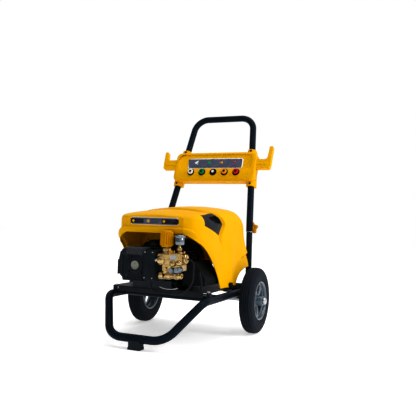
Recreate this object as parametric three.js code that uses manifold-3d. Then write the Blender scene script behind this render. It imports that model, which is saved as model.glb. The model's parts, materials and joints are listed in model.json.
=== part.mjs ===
// Pressure washer on a two-wheeled tube frame: a piston pump on a covered motor, with a nozzle panel on
// the push handle. Millimetres, +Z up. The foot loop and the pump face -Y, the handle is at +Y.
// Every length below is set out from the wheel axle, and the whole machine is moved once at the end.
import * as THREE from 'three'
import { mergeVertices } from 'three/addons/utils/BufferGeometryUtils.js'
import Module from 'manifold-3d'

const wasm = await Module()
wasm.setup()

// ---- driving dimensions -------------------------------------------------------------------------
const GAP = 0.3                      // left between two pieces that touch
const AXLE_TO_MIDDLE = 131.57         // from the axle forward to the middle of the machine's length

const WHEEL = { radius: 127, width: 55, middle: 241, bead: 74 }
const AXLE = { radius: 8, half: 281 }
const TUBE_R = 14                    // frame and handle tube
const UPRIGHT_R = 12.2               // the thinner tube that slides up inside the handle
const FRAME = { half: 188, rail: 156, bend: -385, split: -330 }
const LOOP = { half: 104, y: -509, z: 36, corner: 75, bend: 60 }
const JOINT = { y: 74, sleeve: 392, bend: 425 }
const LEAN = THREE.MathUtils.degToRad(20.5)
const GRIP = { half: 135, rise: 500, corner: 62 }

const PLATE = { half: 170, wide: 192, shelf: -214, top: 186, thick: 3, front: -352, rear: 40, lip: 20 }
const PANEL = { half: 188, height: 136, middle: 249, front: 32, back: 6, corner: 24 }
const NOZZLE = { pitch: 52.5, up: 222, radius: 11.5, hole: 12.3, stem: 8 }

const HOOD = { wall: 3, front: -406, rear: 58, foot: 186.4 }
const SHAFT = { x: -35, z: 275 }     // pump crankshaft and motor shaft
const CRANKCASE = { front: -470, back: -390, left: -107, right: 40, bottom: 220, top: 335 }
const HEAD_Y = -440                  // middle plane of the brass head
const KNOB = { x: 68, radius: 23, bottom: 340, top: 397 }
const GAUGE = { x: 116.5, radius: 20, bottom: 348, top: 382 }
const MOTOR = { radius: 84, front: -330, back: -112, cover: -60 }
const HOSE_R = 3

// ---- materials ----------------------------------------------------------------------------------
function paint(color, roughness, metalness = 0) {
  return new THREE.MeshStandardMaterial({ color, roughness, metalness })
}
const frameBlue = paint(0x1b2a35, 0.35, 0.2)
const plateGrey = paint(0x2a2e32, 0.55, 0.3)
const yellow = paint(0xf2c200, 0.35)
const black = paint(0x14171a, 0.5)
const rubber = paint(0x1d2226, 0.85)
const rimGrey = paint(0x8fa0ad, 0.35, 0.6)
const steel = paint(0xb9bec2, 0.3, 0.9)
const brass = paint(0xc9b27a, 0.35, 0.9)
const castBlack = paint(0x181c20, 0.6, 0.3)
const motorGrey = paint(0x22262a, 0.6, 0.4)
const labelGrey = paint(0x3a4152, 0.5)
const glassOlive = paint(0x5d6250, 0.3)
const dialWhite = paint(0xe8e8e4, 0.5)
const nozzleColours = { white: 0xe9eef0, green: 0x0f8a4a, black: 0x1a1c1e, yellow: 0xe8942a, red: 0xc5262c }

// ---- solids -------------------------------------------------------------------------------------
function solidOf(geometry) {
  const bare = geometry.clone()
  bare.deleteAttribute('normal')
  bare.deleteAttribute('uv')
  const merged = mergeVertices(bare, 1e-4)
  const corners = merged.index.array
  const kept = []
  for (let i = 0; i < corners.length; i += 3) {
    const [a, b, c] = [corners[i], corners[i + 1], corners[i + 2]]
    if (a !== b && b !== c && c !== a) kept.push(a, b, c)
  }
  const mesh = { numProp: 3, vertProperties: merged.attributes.position.array, triVerts: new Uint32Array(kept) }
  return new wasm.Manifold(new wasm.Mesh(mesh))
}

function geometryOf(solid) {
  const mesh = solid.getMesh()
  const geometry = new THREE.BufferGeometry()
  geometry.setAttribute('position', new THREE.BufferAttribute(mesh.vertProperties, 3))
  geometry.setIndex(new THREE.BufferAttribute(mesh.triVerts, 1))
  geometry.computeVertexNormals()
  return geometry
}

function join(...pieces) {
  return geometryOf(pieces.map(solidOf).reduce((whole, next) => whole.add(next)))
}

function cut(body, ...tools) {
  return geometryOf(tools.map(solidOf).reduce((left, tool) => left.subtract(tool), solidOf(body)))
}

function common(one, other) {
  return geometryOf(solidOf(one).intersect(solidOf(other)))
}

// A round bar from low to high along one axis, through a point given by the other two coordinates.
function bar(axis, radius, low, high, x, y, z, sides = 16) {
  const geometry = new THREE.CylinderGeometry(radius, radius, high - low, sides)
  const middle = (low + high) / 2
  if (axis === 'x') return geometry.rotateZ(Math.PI / 2).translate(middle, y, z)
  if (axis === 'y') return geometry.translate(x, middle, z)
  return geometry.rotateX(Math.PI / 2).translate(x, y, middle)
}

function hexBar(axis, radius, low, high, x, y, z) {
  return bar(axis, radius, low, high, x, y, z, 6)
}

// A block between two opposite corners.
function block(x0, x1, y0, y1, z0, z1) {
  const geometry = new THREE.BoxGeometry(x1 - x0, y1 - y0, z1 - z0)
  return geometry.translate((x0 + x1) / 2, (y0 + y1) / 2, (z0 + z1) / 2)
}

// An outline of [x, z] points, pushed along Y from y0 to y1.
function alongY(points, y0, y1) {
  const shape = new THREE.Shape(points.map(([x, z]) => new THREE.Vector2(x, z)))
  const geometry = new THREE.ExtrudeGeometry(shape, { depth: y1 - y0, bevelEnabled: false })
  return geometry.rotateX(Math.PI / 2).translate(0, y1, 0)
}

// An outline of [y, z] points, pushed along X from x0 to x1.
function alongX(points, x0, x1) {
  const shape = new THREE.Shape(points.map(([y, z]) => new THREE.Vector2(y, z)))
  const geometry = new THREE.ExtrudeGeometry(shape, { depth: x1 - x0, bevelEnabled: false })
  return geometry.rotateY(Math.PI / 2).rotateX(Math.PI / 2).translate(x0, 0, 0)
}

function roundedOutline(halfWidth, halfHeight, radius, x, z, steps = 4) {
  const points = []
  for (const [sx, sz, start] of [[1, 1, 0], [-1, 1, 1], [-1, -1, 2], [1, -1, 3]]) {
    for (let i = 0; i <= steps; i++) {
      const angle = (start + i / steps) * Math.PI / 2
      const cx = x + sx * (halfWidth - radius)
      const cz = z + sz * (halfHeight - radius)
      points.push([cx + radius * Math.cos(angle), cz + radius * Math.sin(angle)])
    }
  }
  return points
}

// The same piece on the other side, turned half round about an upright line at x = 0 and the given y.
function turnedRound(geometry, y) {
  return geometry.translate(0, -y, 0).rotateZ(Math.PI).translate(0, y, 0)
}

// A ring turned about the X axis from a closed profile of [x, radius] points.
function turnedAboutX(profile, segments) {
  const outline = [...profile, profile[0]].map(([x, r]) => new THREE.Vector2(r, x))
  if (THREE.ShapeUtils.isClockWise(outline)) outline.reverse()
  return new THREE.LatheGeometry(outline, segments).rotateZ(-Math.PI / 2)
}

// ---- bent tube ----------------------------------------------------------------------------------
// A path that is sampled at its own points, so that straight stretches cost nothing.
class Route extends THREE.Curve {
  constructor(points) {
    super()
    this.points = points
  }

  getPoint(t, target = new THREE.Vector3()) {
    const place = t * (this.points.length - 1)
    const index = Math.min(Math.floor(place), this.points.length - 2)
    return target.lerpVectors(this.points[index], this.points[index + 1], place - index)
  }

  getPointAt(u, target) {
    return this.getPoint(u, target)
  }

  getTangentAt(u, target = new THREE.Vector3()) {
    const index = Math.round(u * (this.points.length - 1))
    const before = this.points[Math.max(index - 1, 0)]
    const after = this.points[Math.min(index + 1, this.points.length - 1)]
    return target.subVectors(after, before).normalize()
  }
}

function rounded(corners, radii, steps = 5) {
  const points = [corners[0].clone()]
  for (let i = 1; i < corners.length - 1; i++) {
    const into = corners[i].clone().sub(corners[i - 1]).normalize()
    const out = corners[i + 1].clone().sub(corners[i]).normalize()
    const turn = into.angleTo(out)
    const radius = radii[i - 1]
    const side = out.clone().addScaledVector(into, -Math.cos(turn)).divideScalar(Math.sin(turn))
    const start = corners[i].clone().addScaledVector(into, -radius * Math.tan(turn / 2))
    for (let k = 0; k <= steps; k++) {
      const angle = turn * k / steps
      const across = radius * (1 - Math.cos(angle))
      points.push(start.clone().addScaledVector(into, radius * Math.sin(angle)).addScaledVector(side, across))
    }
  }
  points.push(corners.at(-1).clone())
  return points
}

function tube(points, radius, sides = 12) {
  const section = new THREE.Shape()
  for (let i = 0; i < sides; i++) {
    const angle = 2 * Math.PI * i / sides
    const place = [radius * Math.cos(angle), radius * Math.sin(angle)]
    if (i === 0) section.moveTo(...place)
    else section.lineTo(...place)
  }
  section.closePath()
  const options = { steps: points.length - 1, bevelEnabled: false, extrudePath: new Route(points) }
  return new THREE.ExtrudeGeometry(section, options)
}

function v(x, y, z) {
  return new THREE.Vector3(x, y, z)
}

const machine = new THREE.Group()
const handle = new THREE.Group()     // leans back with the handle: +Z runs up along it, -Y is its front

function add(name, geometry, material, parent = machine) {
  const mesh = new THREE.Mesh(geometry, material)
  mesh.name = name
  parent.add(mesh)
}

const SIDES = [['left', -1], ['right', 1]]

// ---- frame --------------------------------------------------------------------------------------
function frontLoop() {
  const half = [v(FRAME.half, FRAME.split, FRAME.rail), v(FRAME.half, FRAME.bend, FRAME.rail),
    v(LOOP.half, LOOP.y, LOOP.z)]
  const other = half.map((p) => v(-p.x, p.y, p.z)).reverse()
  const radii = [LOOP.bend, LOOP.corner, LOOP.corner, LOOP.bend]
  return tube(rounded([...half, ...other], radii), TUBE_R)
}

function sideRail(side) {
  const rear = JOINT.y - UPRIGHT_R - GAP
  return bar('y', TUBE_R, FRAME.split + GAP, rear, side * FRAME.half, 0, FRAME.rail, 12)
}

function upright(side) {
  return bar('z', UPRIGHT_R, FRAME.rail - TUBE_R, JOINT.bend - 2, side * FRAME.half, JOINT.y, 0, 12)
}

function crossMember(y) {
  const reach = FRAME.half - TUBE_R - GAP
  return bar('x', 10, -reach, reach, 0, y, FRAME.rail, 10)
}

// The tray that carries the pump and motor: it reaches out over both rails ahead of the hood, its lips fold
// down in front and behind, and its ears stand on the rails.
function basePlate() {
  const low = PLATE.top - PLATE.thick
  const sheet = block(-PLATE.half, PLATE.half, PLATE.front, PLATE.rear, low, PLATE.top)
  const shelf = block(-PLATE.wide, PLATE.wide, PLATE.front, PLATE.shelf, low, PLATE.top)
  const lip = PLATE.top - PLATE.lip
  const frontLip = block(-PLATE.half, PLATE.half, PLATE.front, PLATE.front + PLATE.thick, lip, PLATE.top)
  const rearLip = block(-PLATE.half, PLATE.half, PLATE.rear - PLATE.thick, PLATE.rear, lip, PLATE.top)
  const ear = PLATE.wide
  const seat = FRAME.rail + TUBE_R + GAP
  const ears = [PLATE.front, 8].flatMap((y) => [
    block(-ear, ear, y, y + 24, low, PLATE.top),
    block(-ear, -ear + 8, y, y + 24, seat, PLATE.top),
    block(ear - 8, ear, y, y + 24, seat, PLATE.top),
  ])
  return join(sheet, shelf, frontLip, rearLip, ...ears)
}

function axleBracket(side) {
  const top = FRAME.rail - TUBE_R - GAP
  const outline = [[-40, top], [-14, 108], [14, 108], [90, 128], [90, top]]
  const x = side * FRAME.half
  const plate = alongX(outline, x - 3, x + 3)
  return cut(plate, bar('x', AXLE.radius + GAP, x - 5, x + 5, 0, 0, WHEEL.radius, 20))
}

function frontFoot() {
  const pad = block(-23, 23, LOOP.y - 17, LOOP.y + 17, 0, LOOP.z - 4)
  return cut(pad, bar('x', TUBE_R + GAP, -40, 40, 0, LOOP.y, LOOP.z, 12))
}

function axleCap(side) {
  const cup = bar('x', 14, 277, 288, 0, 0, WHEEL.radius, 16)
  const capped = cut(cup, bar('x', AXLE.radius + GAP, 270, AXLE.half + GAP, 0, 0, WHEEL.radius, 16))
  return side > 0 ? capped : capped.rotateZ(Math.PI)
}

// ---- wheels -------------------------------------------------------------------------------------
function tyre(side) {
  const half = WHEEL.width / 2
  const right = [[half - 5, WHEEL.bead], [half - 1, 84], [half, 100], [half - 1.5, 112], [half - 6, 121],
    [half - 14, 126], [5, WHEEL.radius]]
  const left = right.map(([x, r]) => [-x, r]).reverse()
  const ring = turnedAboutX([...right, ...left], 36)
  return ring.translate(side * WHEEL.middle, 0, WHEEL.radius)
}

// A dished rim with five windows between its spokes. It is drawn for the right wheel and turned round.
function rim(side) {
  const seat = WHEEL.bead - GAP
  const flange = WHEEL.width / 2 - 3
  const barrel = turnedAboutX([[-flange, seat], [-flange, 66], [flange, 66], [flange, seat]], 30)
  const hub = turnedAboutX([[-42, AXLE.radius + GAP], [-42, 19], [33, 19], [33, AXLE.radius + GAP]], 20)
  const web = turnedAboutX([[-2, 14], [6, 67.5], [12, 67.5], [8, 14]], 30)
  const windows = []
  for (let i = 0; i < 5; i++) {
    const outline = [[-10, 27], [10, 27], [24, 58], [-24, 58]]
    const wedge = alongX(outline, -30, 30)
    windows.push(wedge.rotateX(2 * Math.PI * i / 5))
  }
  const disc = cut(web, ...windows)
  const whole = join(barrel, hub, disc)
  if (side < 0) whole.rotateZ(Math.PI)
  return whole.translate(side * WHEEL.middle, 0, WHEEL.radius)
}

// ---- handle -------------------------------------------------------------------------------------
function handleTube() {
  const top = v(GRIP.half, JOINT.y + GRIP.rise * Math.sin(LEAN), JOINT.bend + GRIP.rise * Math.cos(LEAN))
  const half = [v(FRAME.half, JOINT.y, JOINT.sleeve), v(FRAME.half, JOINT.y, JOINT.bend), top]
  const other = half.map((p) => v(-p.x, p.y, p.z)).reverse()
  const bow = tube(rounded([...half, ...other], [30, GRIP.corner, GRIP.corner, 30], 6), TUBE_R)
  const sleeves = []
  for (const [, side] of SIDES) {
    const x = side * FRAME.half
    sleeves.push(bar('z', UPRIGHT_R + 0.5, 300, JOINT.bend - 1, x, JOINT.y, 0, 12))
    sleeves.push(bar('y', 4.4, JOINT.y, JOINT.y + 30, x, 0, JOINT.sleeve + 16, 10))
  }
  return cut(bow, ...sleeves)
}

// A five-lobed hand knob on a stud that presses on the upright through the handle's sleeve.
function jointKnob(side) {
  const points = []
  const count = 30
  for (let i = 0; i < count; i++) {
    const angle = 2 * Math.PI * i / count
    const radius = 22 + 3.5 * Math.cos(5 * angle)
    points.push([radius * Math.cos(angle), radius * Math.sin(angle)])
  }
  const rear = JOINT.y + TUBE_R
  const lobes = alongY(points, rear + 8, rear + 24)
  const collar = bar('y', 9, rear + 1, rear + 9, 0, 0, 0, 14)
  const stud = bar('y', 4, JOINT.y + UPRIGHT_R + GAP, rear + 5, 0, 0, 0, 10)
  return join(lobes, collar, stud).translate(side * FRAME.half, 0, JOINT.sleeve + 16)
}

// How far out the handle's tube stands at a height up along it.
function tubeReach(up) {
  return FRAME.half - (FRAME.half - GRIP.half) * up / GRIP.rise
}

function tubeStretch(side, radius, low, high) {
  return tube([v(side * tubeReach(low), 0, low), v(side * tubeReach(high), 0, high)], radius, 12)
}

function panelShell() {
  const outline = roundedOutline(PANEL.half, PANEL.height / 2, PANEL.corner, 0, PANEL.middle)
  const body = alongY(outline, -PANEL.front, PANEL.back)
  const ears = SIDES.flatMap(([, side]) => [-1, 1].map((end) => {
    const up = PANEL.middle + end * (PANEL.height / 2 + 3)
    const x = side * tubeReach(up)
    return alongY(roundedOutline(19, 14, 6, x, up, 2), -22, PANEL.back)
  }))
  const pocket = block(-132, 132, -PANEL.front + 4, 20, PANEL.middle - 56, PANEL.middle + 56)
  const field = alongY(roundedOutline(167, 34, 18, 0, PANEL.middle + 23), -PANEL.front - 5, -PANEL.front + 3)
  const channels = SIDES.map(([, side]) => tubeStretch(side, TUBE_R + GAP, 150, 350))
  const holes = nozzlePlaces().map((x) => bar('y', NOZZLE.hole, -50, 2, x, 0, NOZZLE.up, 16))
  const wells = nozzlePlaces().map((x) => bar('y', 16, -PANEL.front + 2, -6, x, 0, NOZZLE.up, 16))
  const hollow = cut(join(body, ...ears), pocket)
  return cut(join(hollow, ...wells), field, ...channels, ...holes)
}

// The rear half of the clamp round one handle tube.
function panelClamp(side) {
  const low = PANEL.middle - PANEL.height / 2 - 15
  const high = PANEL.middle + PANEL.height / 2 + 15
  const near = 19
  const outline = [[tubeReach(low) - near, low], [tubeReach(low) + near, low],
    [tubeReach(high) + near, high], [tubeReach(high) - near, high]]
  const blockShape = alongY(outline.map(([x, z]) => [side * x, z]), PANEL.back + GAP, 19)
  return cut(blockShape, tubeStretch(side, TUBE_R + GAP, 150, 350))
}

// A side hook with its prong turned up; the right prong is a little taller.
function hook(side) {
  const tip = side > 0 ? 344 : 325
  const root = PANEL.half + GAP
  const outline = [[root, 240], [246, 240], [250, 262], [252, tip], [237, tip], [232, 284], [root, 284]]
  return alongY(outline.map(([x, z]) => [side * x, z]), -26, -6)
}

function nozzleLabel() {
  const floor = -PANEL.front + 3 - GAP
  return alongY(roundedOutline(125, 22.5, 8, 0, 263), floor - 0.8, floor)
}

function nozzlePlaces() {
  return [-2, -1, 0, 1, 2].map((step) => step * NOZZLE.pitch)
}

function nozzle(x) {
  const front = -PANEL.front
  const disc = bar('y', NOZZLE.radius, front - 10, front - 1, x, 0, NOZZLE.up, 12)
  const stem = bar('y', NOZZLE.stem, front - 2, front + 22, x, 0, NOZZLE.up, 12)
  const mouth = bar('y', 3.5, front - 14, front - 4, x, 0, NOZZLE.up, 8)
  return cut(join(disc, stem), mouth)
}

// ---- hood ---------------------------------------------------------------------------------------
// Sections from front to rear: [y, half width at the shoulder, half width at the foot, top, shoulder radius].
const HOOD_SECTIONS = [
  [-406, 104, 104, 444, 9], [-400, 122, 122, 450, 12], [-388, 142, 144, 455, 16], [-365, 157, 160, 460, 24],
  [-330, 164, 168, 466, 38], [-270, 170, 174, 473, 52], [-200, 173, 179, 480, 57], [-130, 175, 183, 485, 58],
  [-70, 176, 188, 488, 58], [-20, 176, 197, 488, 58], [20, 175, 202, 481, 58], [44, 172, 203, 470, 57],
  [58, 168, 203, 455, 55],
]

// One section: up one side, round the shoulders, across the crowned top, and down the other side.
function hoodSection([y, shoulderHalf, footHalf, top, shoulder], inset) {
  const crown = 10 * shoulderHalf / 175
  const high = top - inset
  const radius = Math.max(shoulder - inset, 5)
  const shoulderZ = high - crown - radius
  const low = HOOD.foot - (inset > 0 ? 40 : 0)
  const half = [[footHalf - inset, low], [footHalf - inset, Math.min(300, shoulderZ - 30)]]
  for (let i = 0; i <= 5; i++) {
    const angle = i / 5 * 1.35
    const x = shoulderHalf - inset - radius * (1 - Math.cos(angle))
    half.push([x, shoulderZ + radius * Math.sin(angle)])
  }
  const edge = half.at(-1)
  for (const share of [0.62, 0.3]) {
    half.push([edge[0] * share, high - (high - edge[1]) * share * share])
  }
  const other = half.map(([x, z]) => [-x, z]).reverse()
  return [...half, [0, high], ...other].map(([x, z]) => v(x, y, z))
}

function hoodBody(inset) {
  const rings = HOOD_SECTIONS.map((section) => hoodSection(section, inset))
  if (inset > 0) {
    for (const point of rings[0]) point.y += inset
    for (const point of rings.at(-1)) point.y -= inset
  }
  const size = rings[0].length
  const points = rings.flat()
  const faces = []
  for (let ring = 0; ring < rings.length - 1; ring++) {
    for (let i = 0; i < size; i++) {
      const j = (i + 1) % size
      const [a, b] = [ring * size + i, ring * size + j]
      faces.push(a, a + size, b + size, a, b + size, b)
    }
  }
  const last = (rings.length - 1) * size
  for (const [base, flip] of [[0, false], [last, true]]) {
    const flat = rings[base === 0 ? 0 : rings.length - 1].map((p) => new THREE.Vector2(p.x, p.z))
    for (const [a, b, c] of THREE.ShapeUtils.triangulateShape(flat, [])) {
      if (flip) faces.push(base + a, base + c, base + b)
      else faces.push(base + a, base + b, base + c)
    }
  }
  const geometry = new THREE.BufferGeometry().setFromPoints(points)
  geometry.setIndex(faces)
  return geometry
}

function smooth(points, count) {
  const curve = new THREE.SplineCurve(points.map(([a, b]) => new THREE.Vector2(a, b)))
  return curve.getPoints(count).map((p) => [p.x, p.y])
}

function frontArch() {
  const edge = smooth([[-406, 386], [-388, 368], [-335, 333], [-266, 268], [-222, 205], [-210, 170]], 12)
  return alongX([[-460, 389], [-412, 389], ...edge, [-210, 100], [-460, 100]], -260, 260)
}

function wheelArch() {
  const edge = smooth([[-66, 170], [-56, 200], [-30, 232], [10, 248], [70, 254]], 10)
  return alongX([...edge, [90, 254], [90, 100], [-66, 100]], -260, 260)
}

function ventPrism(side, inset) {
  const outline = [[-338 + inset, 461 - inset], [-212, 461 - inset], [-184, 444], [-172 - inset, 419],
    [-213, 379 + inset], [-338 + inset, 414 + inset]]
  return alongX(outline, side > 0 ? 100 : -230, side > 0 ? 230 : -100)
}

function hoodShell() {
  return cut(hoodBody(0), hoodBody(HOOD.wall))
}

function hood() {
  const holes = SIDES.map(([, side]) => {
    const x = side * 183
    return bar('x', 4.3, x - 20, x + 20, 0, -143, 196, 10)
  })
  const vents = SIDES.map(([, side]) => ventPrism(side, 0))
  return cut(hoodShell(), frontArch(), wheelArch(), ...vents, ...holes)
}

function ventInsert(side) {
  return common(hoodShell(), ventPrism(side, 0.5))
}

function hoodLabel() {
  const face = HOOD.front - GAP
  return alongY(roundedOutline(93, 13, 2, 0, 426, 1), face - 0.8, face)
}

// A bent strap inside the hood's foot, which the hood's hand knob screws into.
function hoodBracket(side) {
  const strap = block(170.5, 174.5, -160, -126, 174, 212)
  const foot = block(170.5, 192, -160, -126, FRAME.rail + TUBE_R + GAP, 176)
  const whole = cut(join(strap, foot), bar('x', 4.4, 165, 195, 0, -143, 196, 10))
  return side > 0 ? whole : turnedRound(whole, -143)
}

function hoodKnob(side) {
  const grip = bar('x', 9, 187, 200, 0, -143, 196, 14)
  const stud = bar('x', 3.8, 168, 188, 0, -143, 196, 10)
  const whole = join(grip, stud)
  return side > 0 ? whole : turnedRound(whole, -143)
}

// ---- pump ---------------------------------------------------------------------------------------
function crankcase() {
  const { left, right, bottom, top, front, back } = CRANKCASE
  const outline = [[right, bottom + 4], [right, top - 4], [right - 6, top], [left + 24, top], [left + 8, top - 10],
    [left, top - 48], [left + 2, bottom + 22], [left + 18, bottom + 4], [left + 30, bottom], [right - 6, bottom]]
  const body = alongY(outline, front, back)
  const slots = []
  for (let i = 0; i < 7; i++) {
    const x = left + 34 + i * 11
    slots.push(block(x, x + 5, front - 1, back + 1, top - 12, top + 5))
    slots.push(block(x, x + 5, front - 1, back + 1, bottom - 5, bottom + 6))
  }
  const recess = block(left + 4, left + 15, front - 1, front + 5, bottom + 30, top - 30)
  const cradle = bar('y', 46, back - 1, back + 12, SHAFT.x, 0, SHAFT.z, 20)
  const barb = bar('z', 4, bottom - 8, bottom + 3, 12, HEAD_Y, 0, 10)
  const filler = bar('z', 9, top - 5, top + 4, 10, -430, 0, 12)
  const bore = bar('y', 14, back - 40, back + 14, SHAFT.x, 0, SHAFT.z, 16)
  return cut(join(cut(body, ...slots, recess), cradle, barb, filler), bore)
}

function crankcaseCover() {
  const outline = roundedOutline(20, 50, 5, 20, 278, 2)
  return alongY(outline, CRANKCASE.front - 6, CRANKCASE.front - GAP)
}

function sightGlass() {
  return bar('y', 17, CRANKCASE.front - 5, CRANKCASE.front - GAP, SHAFT.x, 0, SHAFT.z, 20)
}

function oilCap() {
  const low = CRANKCASE.top + 4 + GAP
  return join(bar('z', 12, low, low + 9, 10, -430, 0, 12), bar('z', 7, low + 8, low + 15, 10, -430, 0, 8))
}

function manifold() {
  const head = block(CRANKCASE.right + GAP, 138, -464, -416, 284, 322)
  const lower = block(62, 138, -460, -420, 259, 285)
  const foot = bar('x', 14, CRANKCASE.right + GAP, 88, 0, HEAD_Y, 245, 16)
  const column = bar('z', 13, 244, 290, 68, HEAD_Y, 0, 14)
  const boss = bar('y', 16, -470, -430, 57, 0, 296, 16)
  const neck = bar('z', 13, 318, KNOB.bottom - 6, KNOB.x, HEAD_Y, 0, 14)
  const nut = hexBar('z', 16, KNOB.bottom - 12, KNOB.bottom - 5, KNOB.x, HEAD_Y, 0)
  const stem = bar('z', 6, 318, GAUGE.bottom - GAP, GAUGE.x, HEAD_Y, 0, 12)
  const stemNut = hexBar('z', 9, 330, 339, GAUGE.x, HEAD_Y, 0)
  const cap = bar('x', 16, 136, 146, 0, HEAD_Y, 303, 16)
  const spindle = bar('z', 5, KNOB.bottom - 6, KNOB.bottom + 20, KNOB.x, HEAD_Y, 0, 12)
  return join(head, lower, foot, column, boss, neck, nut, stem, stemNut, cap, spindle, ...valveCaps())
}

function valveCaps() {
  return [82, 104, 126].flatMap((x) => [
    hexBar('y', 9.5, -474, -463, x, 0, 298),
    hexBar('y', 9.5, -470, -459, x, 0, 269),
  ])
}

function unloaderKnob() {
  const points = []
  for (let i = 0; i < 32; i++) {
    const angle = 2 * Math.PI * i / 32
    const radius = i % 2 === 0 ? KNOB.radius : KNOB.radius - 1.6
    points.push(new THREE.Vector2(radius * Math.cos(angle), radius * Math.sin(angle)))
  }
  const height = KNOB.top - KNOB.bottom
  const options = { depth: height, bevelEnabled: false }
  const body = new THREE.ExtrudeGeometry(new THREE.Shape(points), options)
  body.translate(KNOB.x, HEAD_Y, KNOB.bottom)
  return cut(body, bar('z', 5 + GAP, KNOB.bottom - 5, KNOB.bottom + 20 + GAP, KNOB.x, HEAD_Y, 0, 12))
}

function gaugeCase() {
  const can = bar('z', GAUGE.radius, GAUGE.bottom, GAUGE.top, GAUGE.x, HEAD_Y, 0, 24)
  return cut(can, bar('z', GAUGE.radius - 3, GAUGE.top - 7, GAUGE.top + 5, GAUGE.x, HEAD_Y, 0, 24))
}

function gaugeDial() {
  const low = GAUGE.top - 7 + GAP
  return bar('z', GAUGE.radius - 3 - GAP, low, low + 1, GAUGE.x, HEAD_Y, 0, 24)
}

function gaugeNeedle() {
  const low = GAUGE.top - 7 + 1 + 2 * GAP
  const pointer = block(GAUGE.x - 5, GAUGE.x + 16, HEAD_Y - 1, HEAD_Y + 1, low, low + 1)
  return join(pointer, bar('z', 2.5, low, low + 1.5, GAUGE.x, HEAD_Y, 0, 8))
}

function outletCoupler() {
  const start = 88 + GAP
  const body = join(bar('x', 11, start, start + 16, 0, HEAD_Y, 245, 16),
    hexBar('x', 13, start + 15, start + 24, 0, HEAD_Y, 245),
    bar('x', 10, start + 23, 129, 0, HEAD_Y, 245, 16))
  return cut(body, bar('x', 5, start + 6, 140, 0, HEAD_Y, 245, 12))
}

// Straight out of the cap, round to the floor of the tray, under the crankcase, and up to its barb.
const HOSE = { start: 147, high: 303, reach: 173, low: 186, into: 12, barb: 211.2, turn: 25.5, sweep: 62, rise: 25 }

function bypassHose() {
  const { start, high, reach, low, into, barb, turn, sweep, rise } = HOSE
  const corners = [v(start, 0, high), v(reach, 0, high), v(reach, 0, low), v(into, 0, low), v(into, 0, barb)]
  const line = rounded(corners, [turn, sweep, rise], 8)
  for (const point of line) {
    const share = Math.min(Math.max((high - point.z) / 40, 0), 1)
    point.y = HEAD_Y - 6 * share * share * (3 - 2 * share) * Math.min((point.x - into) / 30, 1)
  }
  return tube(line, HOSE_R, 8)
}

// ---- motor --------------------------------------------------------------------------------------
function motorBody() {
  const frame = bar('y', MOTOR.radius, MOTOR.front, MOTOR.back, SHAFT.x, 0, SHAFT.z, 24)
  const bell = bar('y', 60, CRANKCASE.back + 12 + GAP, MOTOR.front + 1, SHAFT.x, 0, SHAFT.z, 20)
  const bore = bar('y', 14, -400, MOTOR.back + 10, SHAFT.x, 0, SHAFT.z, 16)
  return cut(join(frame, bell), bore)
}

function motorBase() {
  const floor = PLATE.top + GAP
  const half = 62
  const sole = block(SHAFT.x - half, SHAFT.x + half, -290, -142, floor, floor + 4)
  const feet = [-290, -172].map((y) => block(SHAFT.x - half, SHAFT.x + half, y, y + 30, floor, floor + 20))
  const body = bar('y', MOTOR.radius + GAP, MOTOR.front - 20, MOTOR.back + 20, SHAFT.x, 0, SHAFT.z, 24)
  return cut(join(sole, ...feet), body)
}

function rotor() {
  const shaft = bar('y', 12, CRANKCASE.back - 20, MOTOR.back + 30, SHAFT.x, 0, SHAFT.z, 14)
  const hub = bar('y', 20, MOTOR.back + 8, MOTOR.back + 30, SHAFT.x, 0, SHAFT.z, 14)
  const blades = []
  for (let i = 0; i < 7; i++) {
    const blade = block(-2, 2, MOTOR.back + 8, MOTOR.back + 30, 10, 72)
    blades.push(blade.rotateY(2 * Math.PI * i / 7).translate(SHAFT.x, 0, SHAFT.z))
  }
  return join(shaft, hub, ...blades)
}

function fanCover() {
  const can = bar('y', MOTOR.radius, MOTOR.back + GAP, MOTOR.cover, SHAFT.x, 0, SHAFT.z, 24)
  const inside = bar('y', MOTOR.radius - 4, MOTOR.back - 5, MOTOR.cover - 4, SHAFT.x, 0, SHAFT.z, 24)
  const slots = []
  for (let i = -2; i <= 2; i++) {
    const z = SHAFT.z + i * 22
    slots.push(block(SHAFT.x - 46, SHAFT.x + 46, MOTOR.cover - 8, MOTOR.cover + 4, z - 4, z + 4))
  }
  return cut(can, inside, ...slots)
}

function pumpSupport() {
  const floor = PLATE.top + GAP
  return join(block(-110, 44, -349, -343, floor, 214), block(-110, 44, -349, -334, floor, floor + 5))
}

function terminalBox() {
  const floor = PLATE.top + GAP
  const under = floor + 17
  const outline = [[78, floor], [118, floor], [118, under], [166, under], [166, 229], [124, 287], [78, 287]]
  return alongY(outline, -328, -190)
}

function powerSwitch() {
  const low = HOOD.rear + GAP
  const dial = bar('y', 18, low, low + 8, 90, 0, 340, 20)
  return join(dial, block(86, 94, low + 7, low + 16, 324, 356))
}

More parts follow.
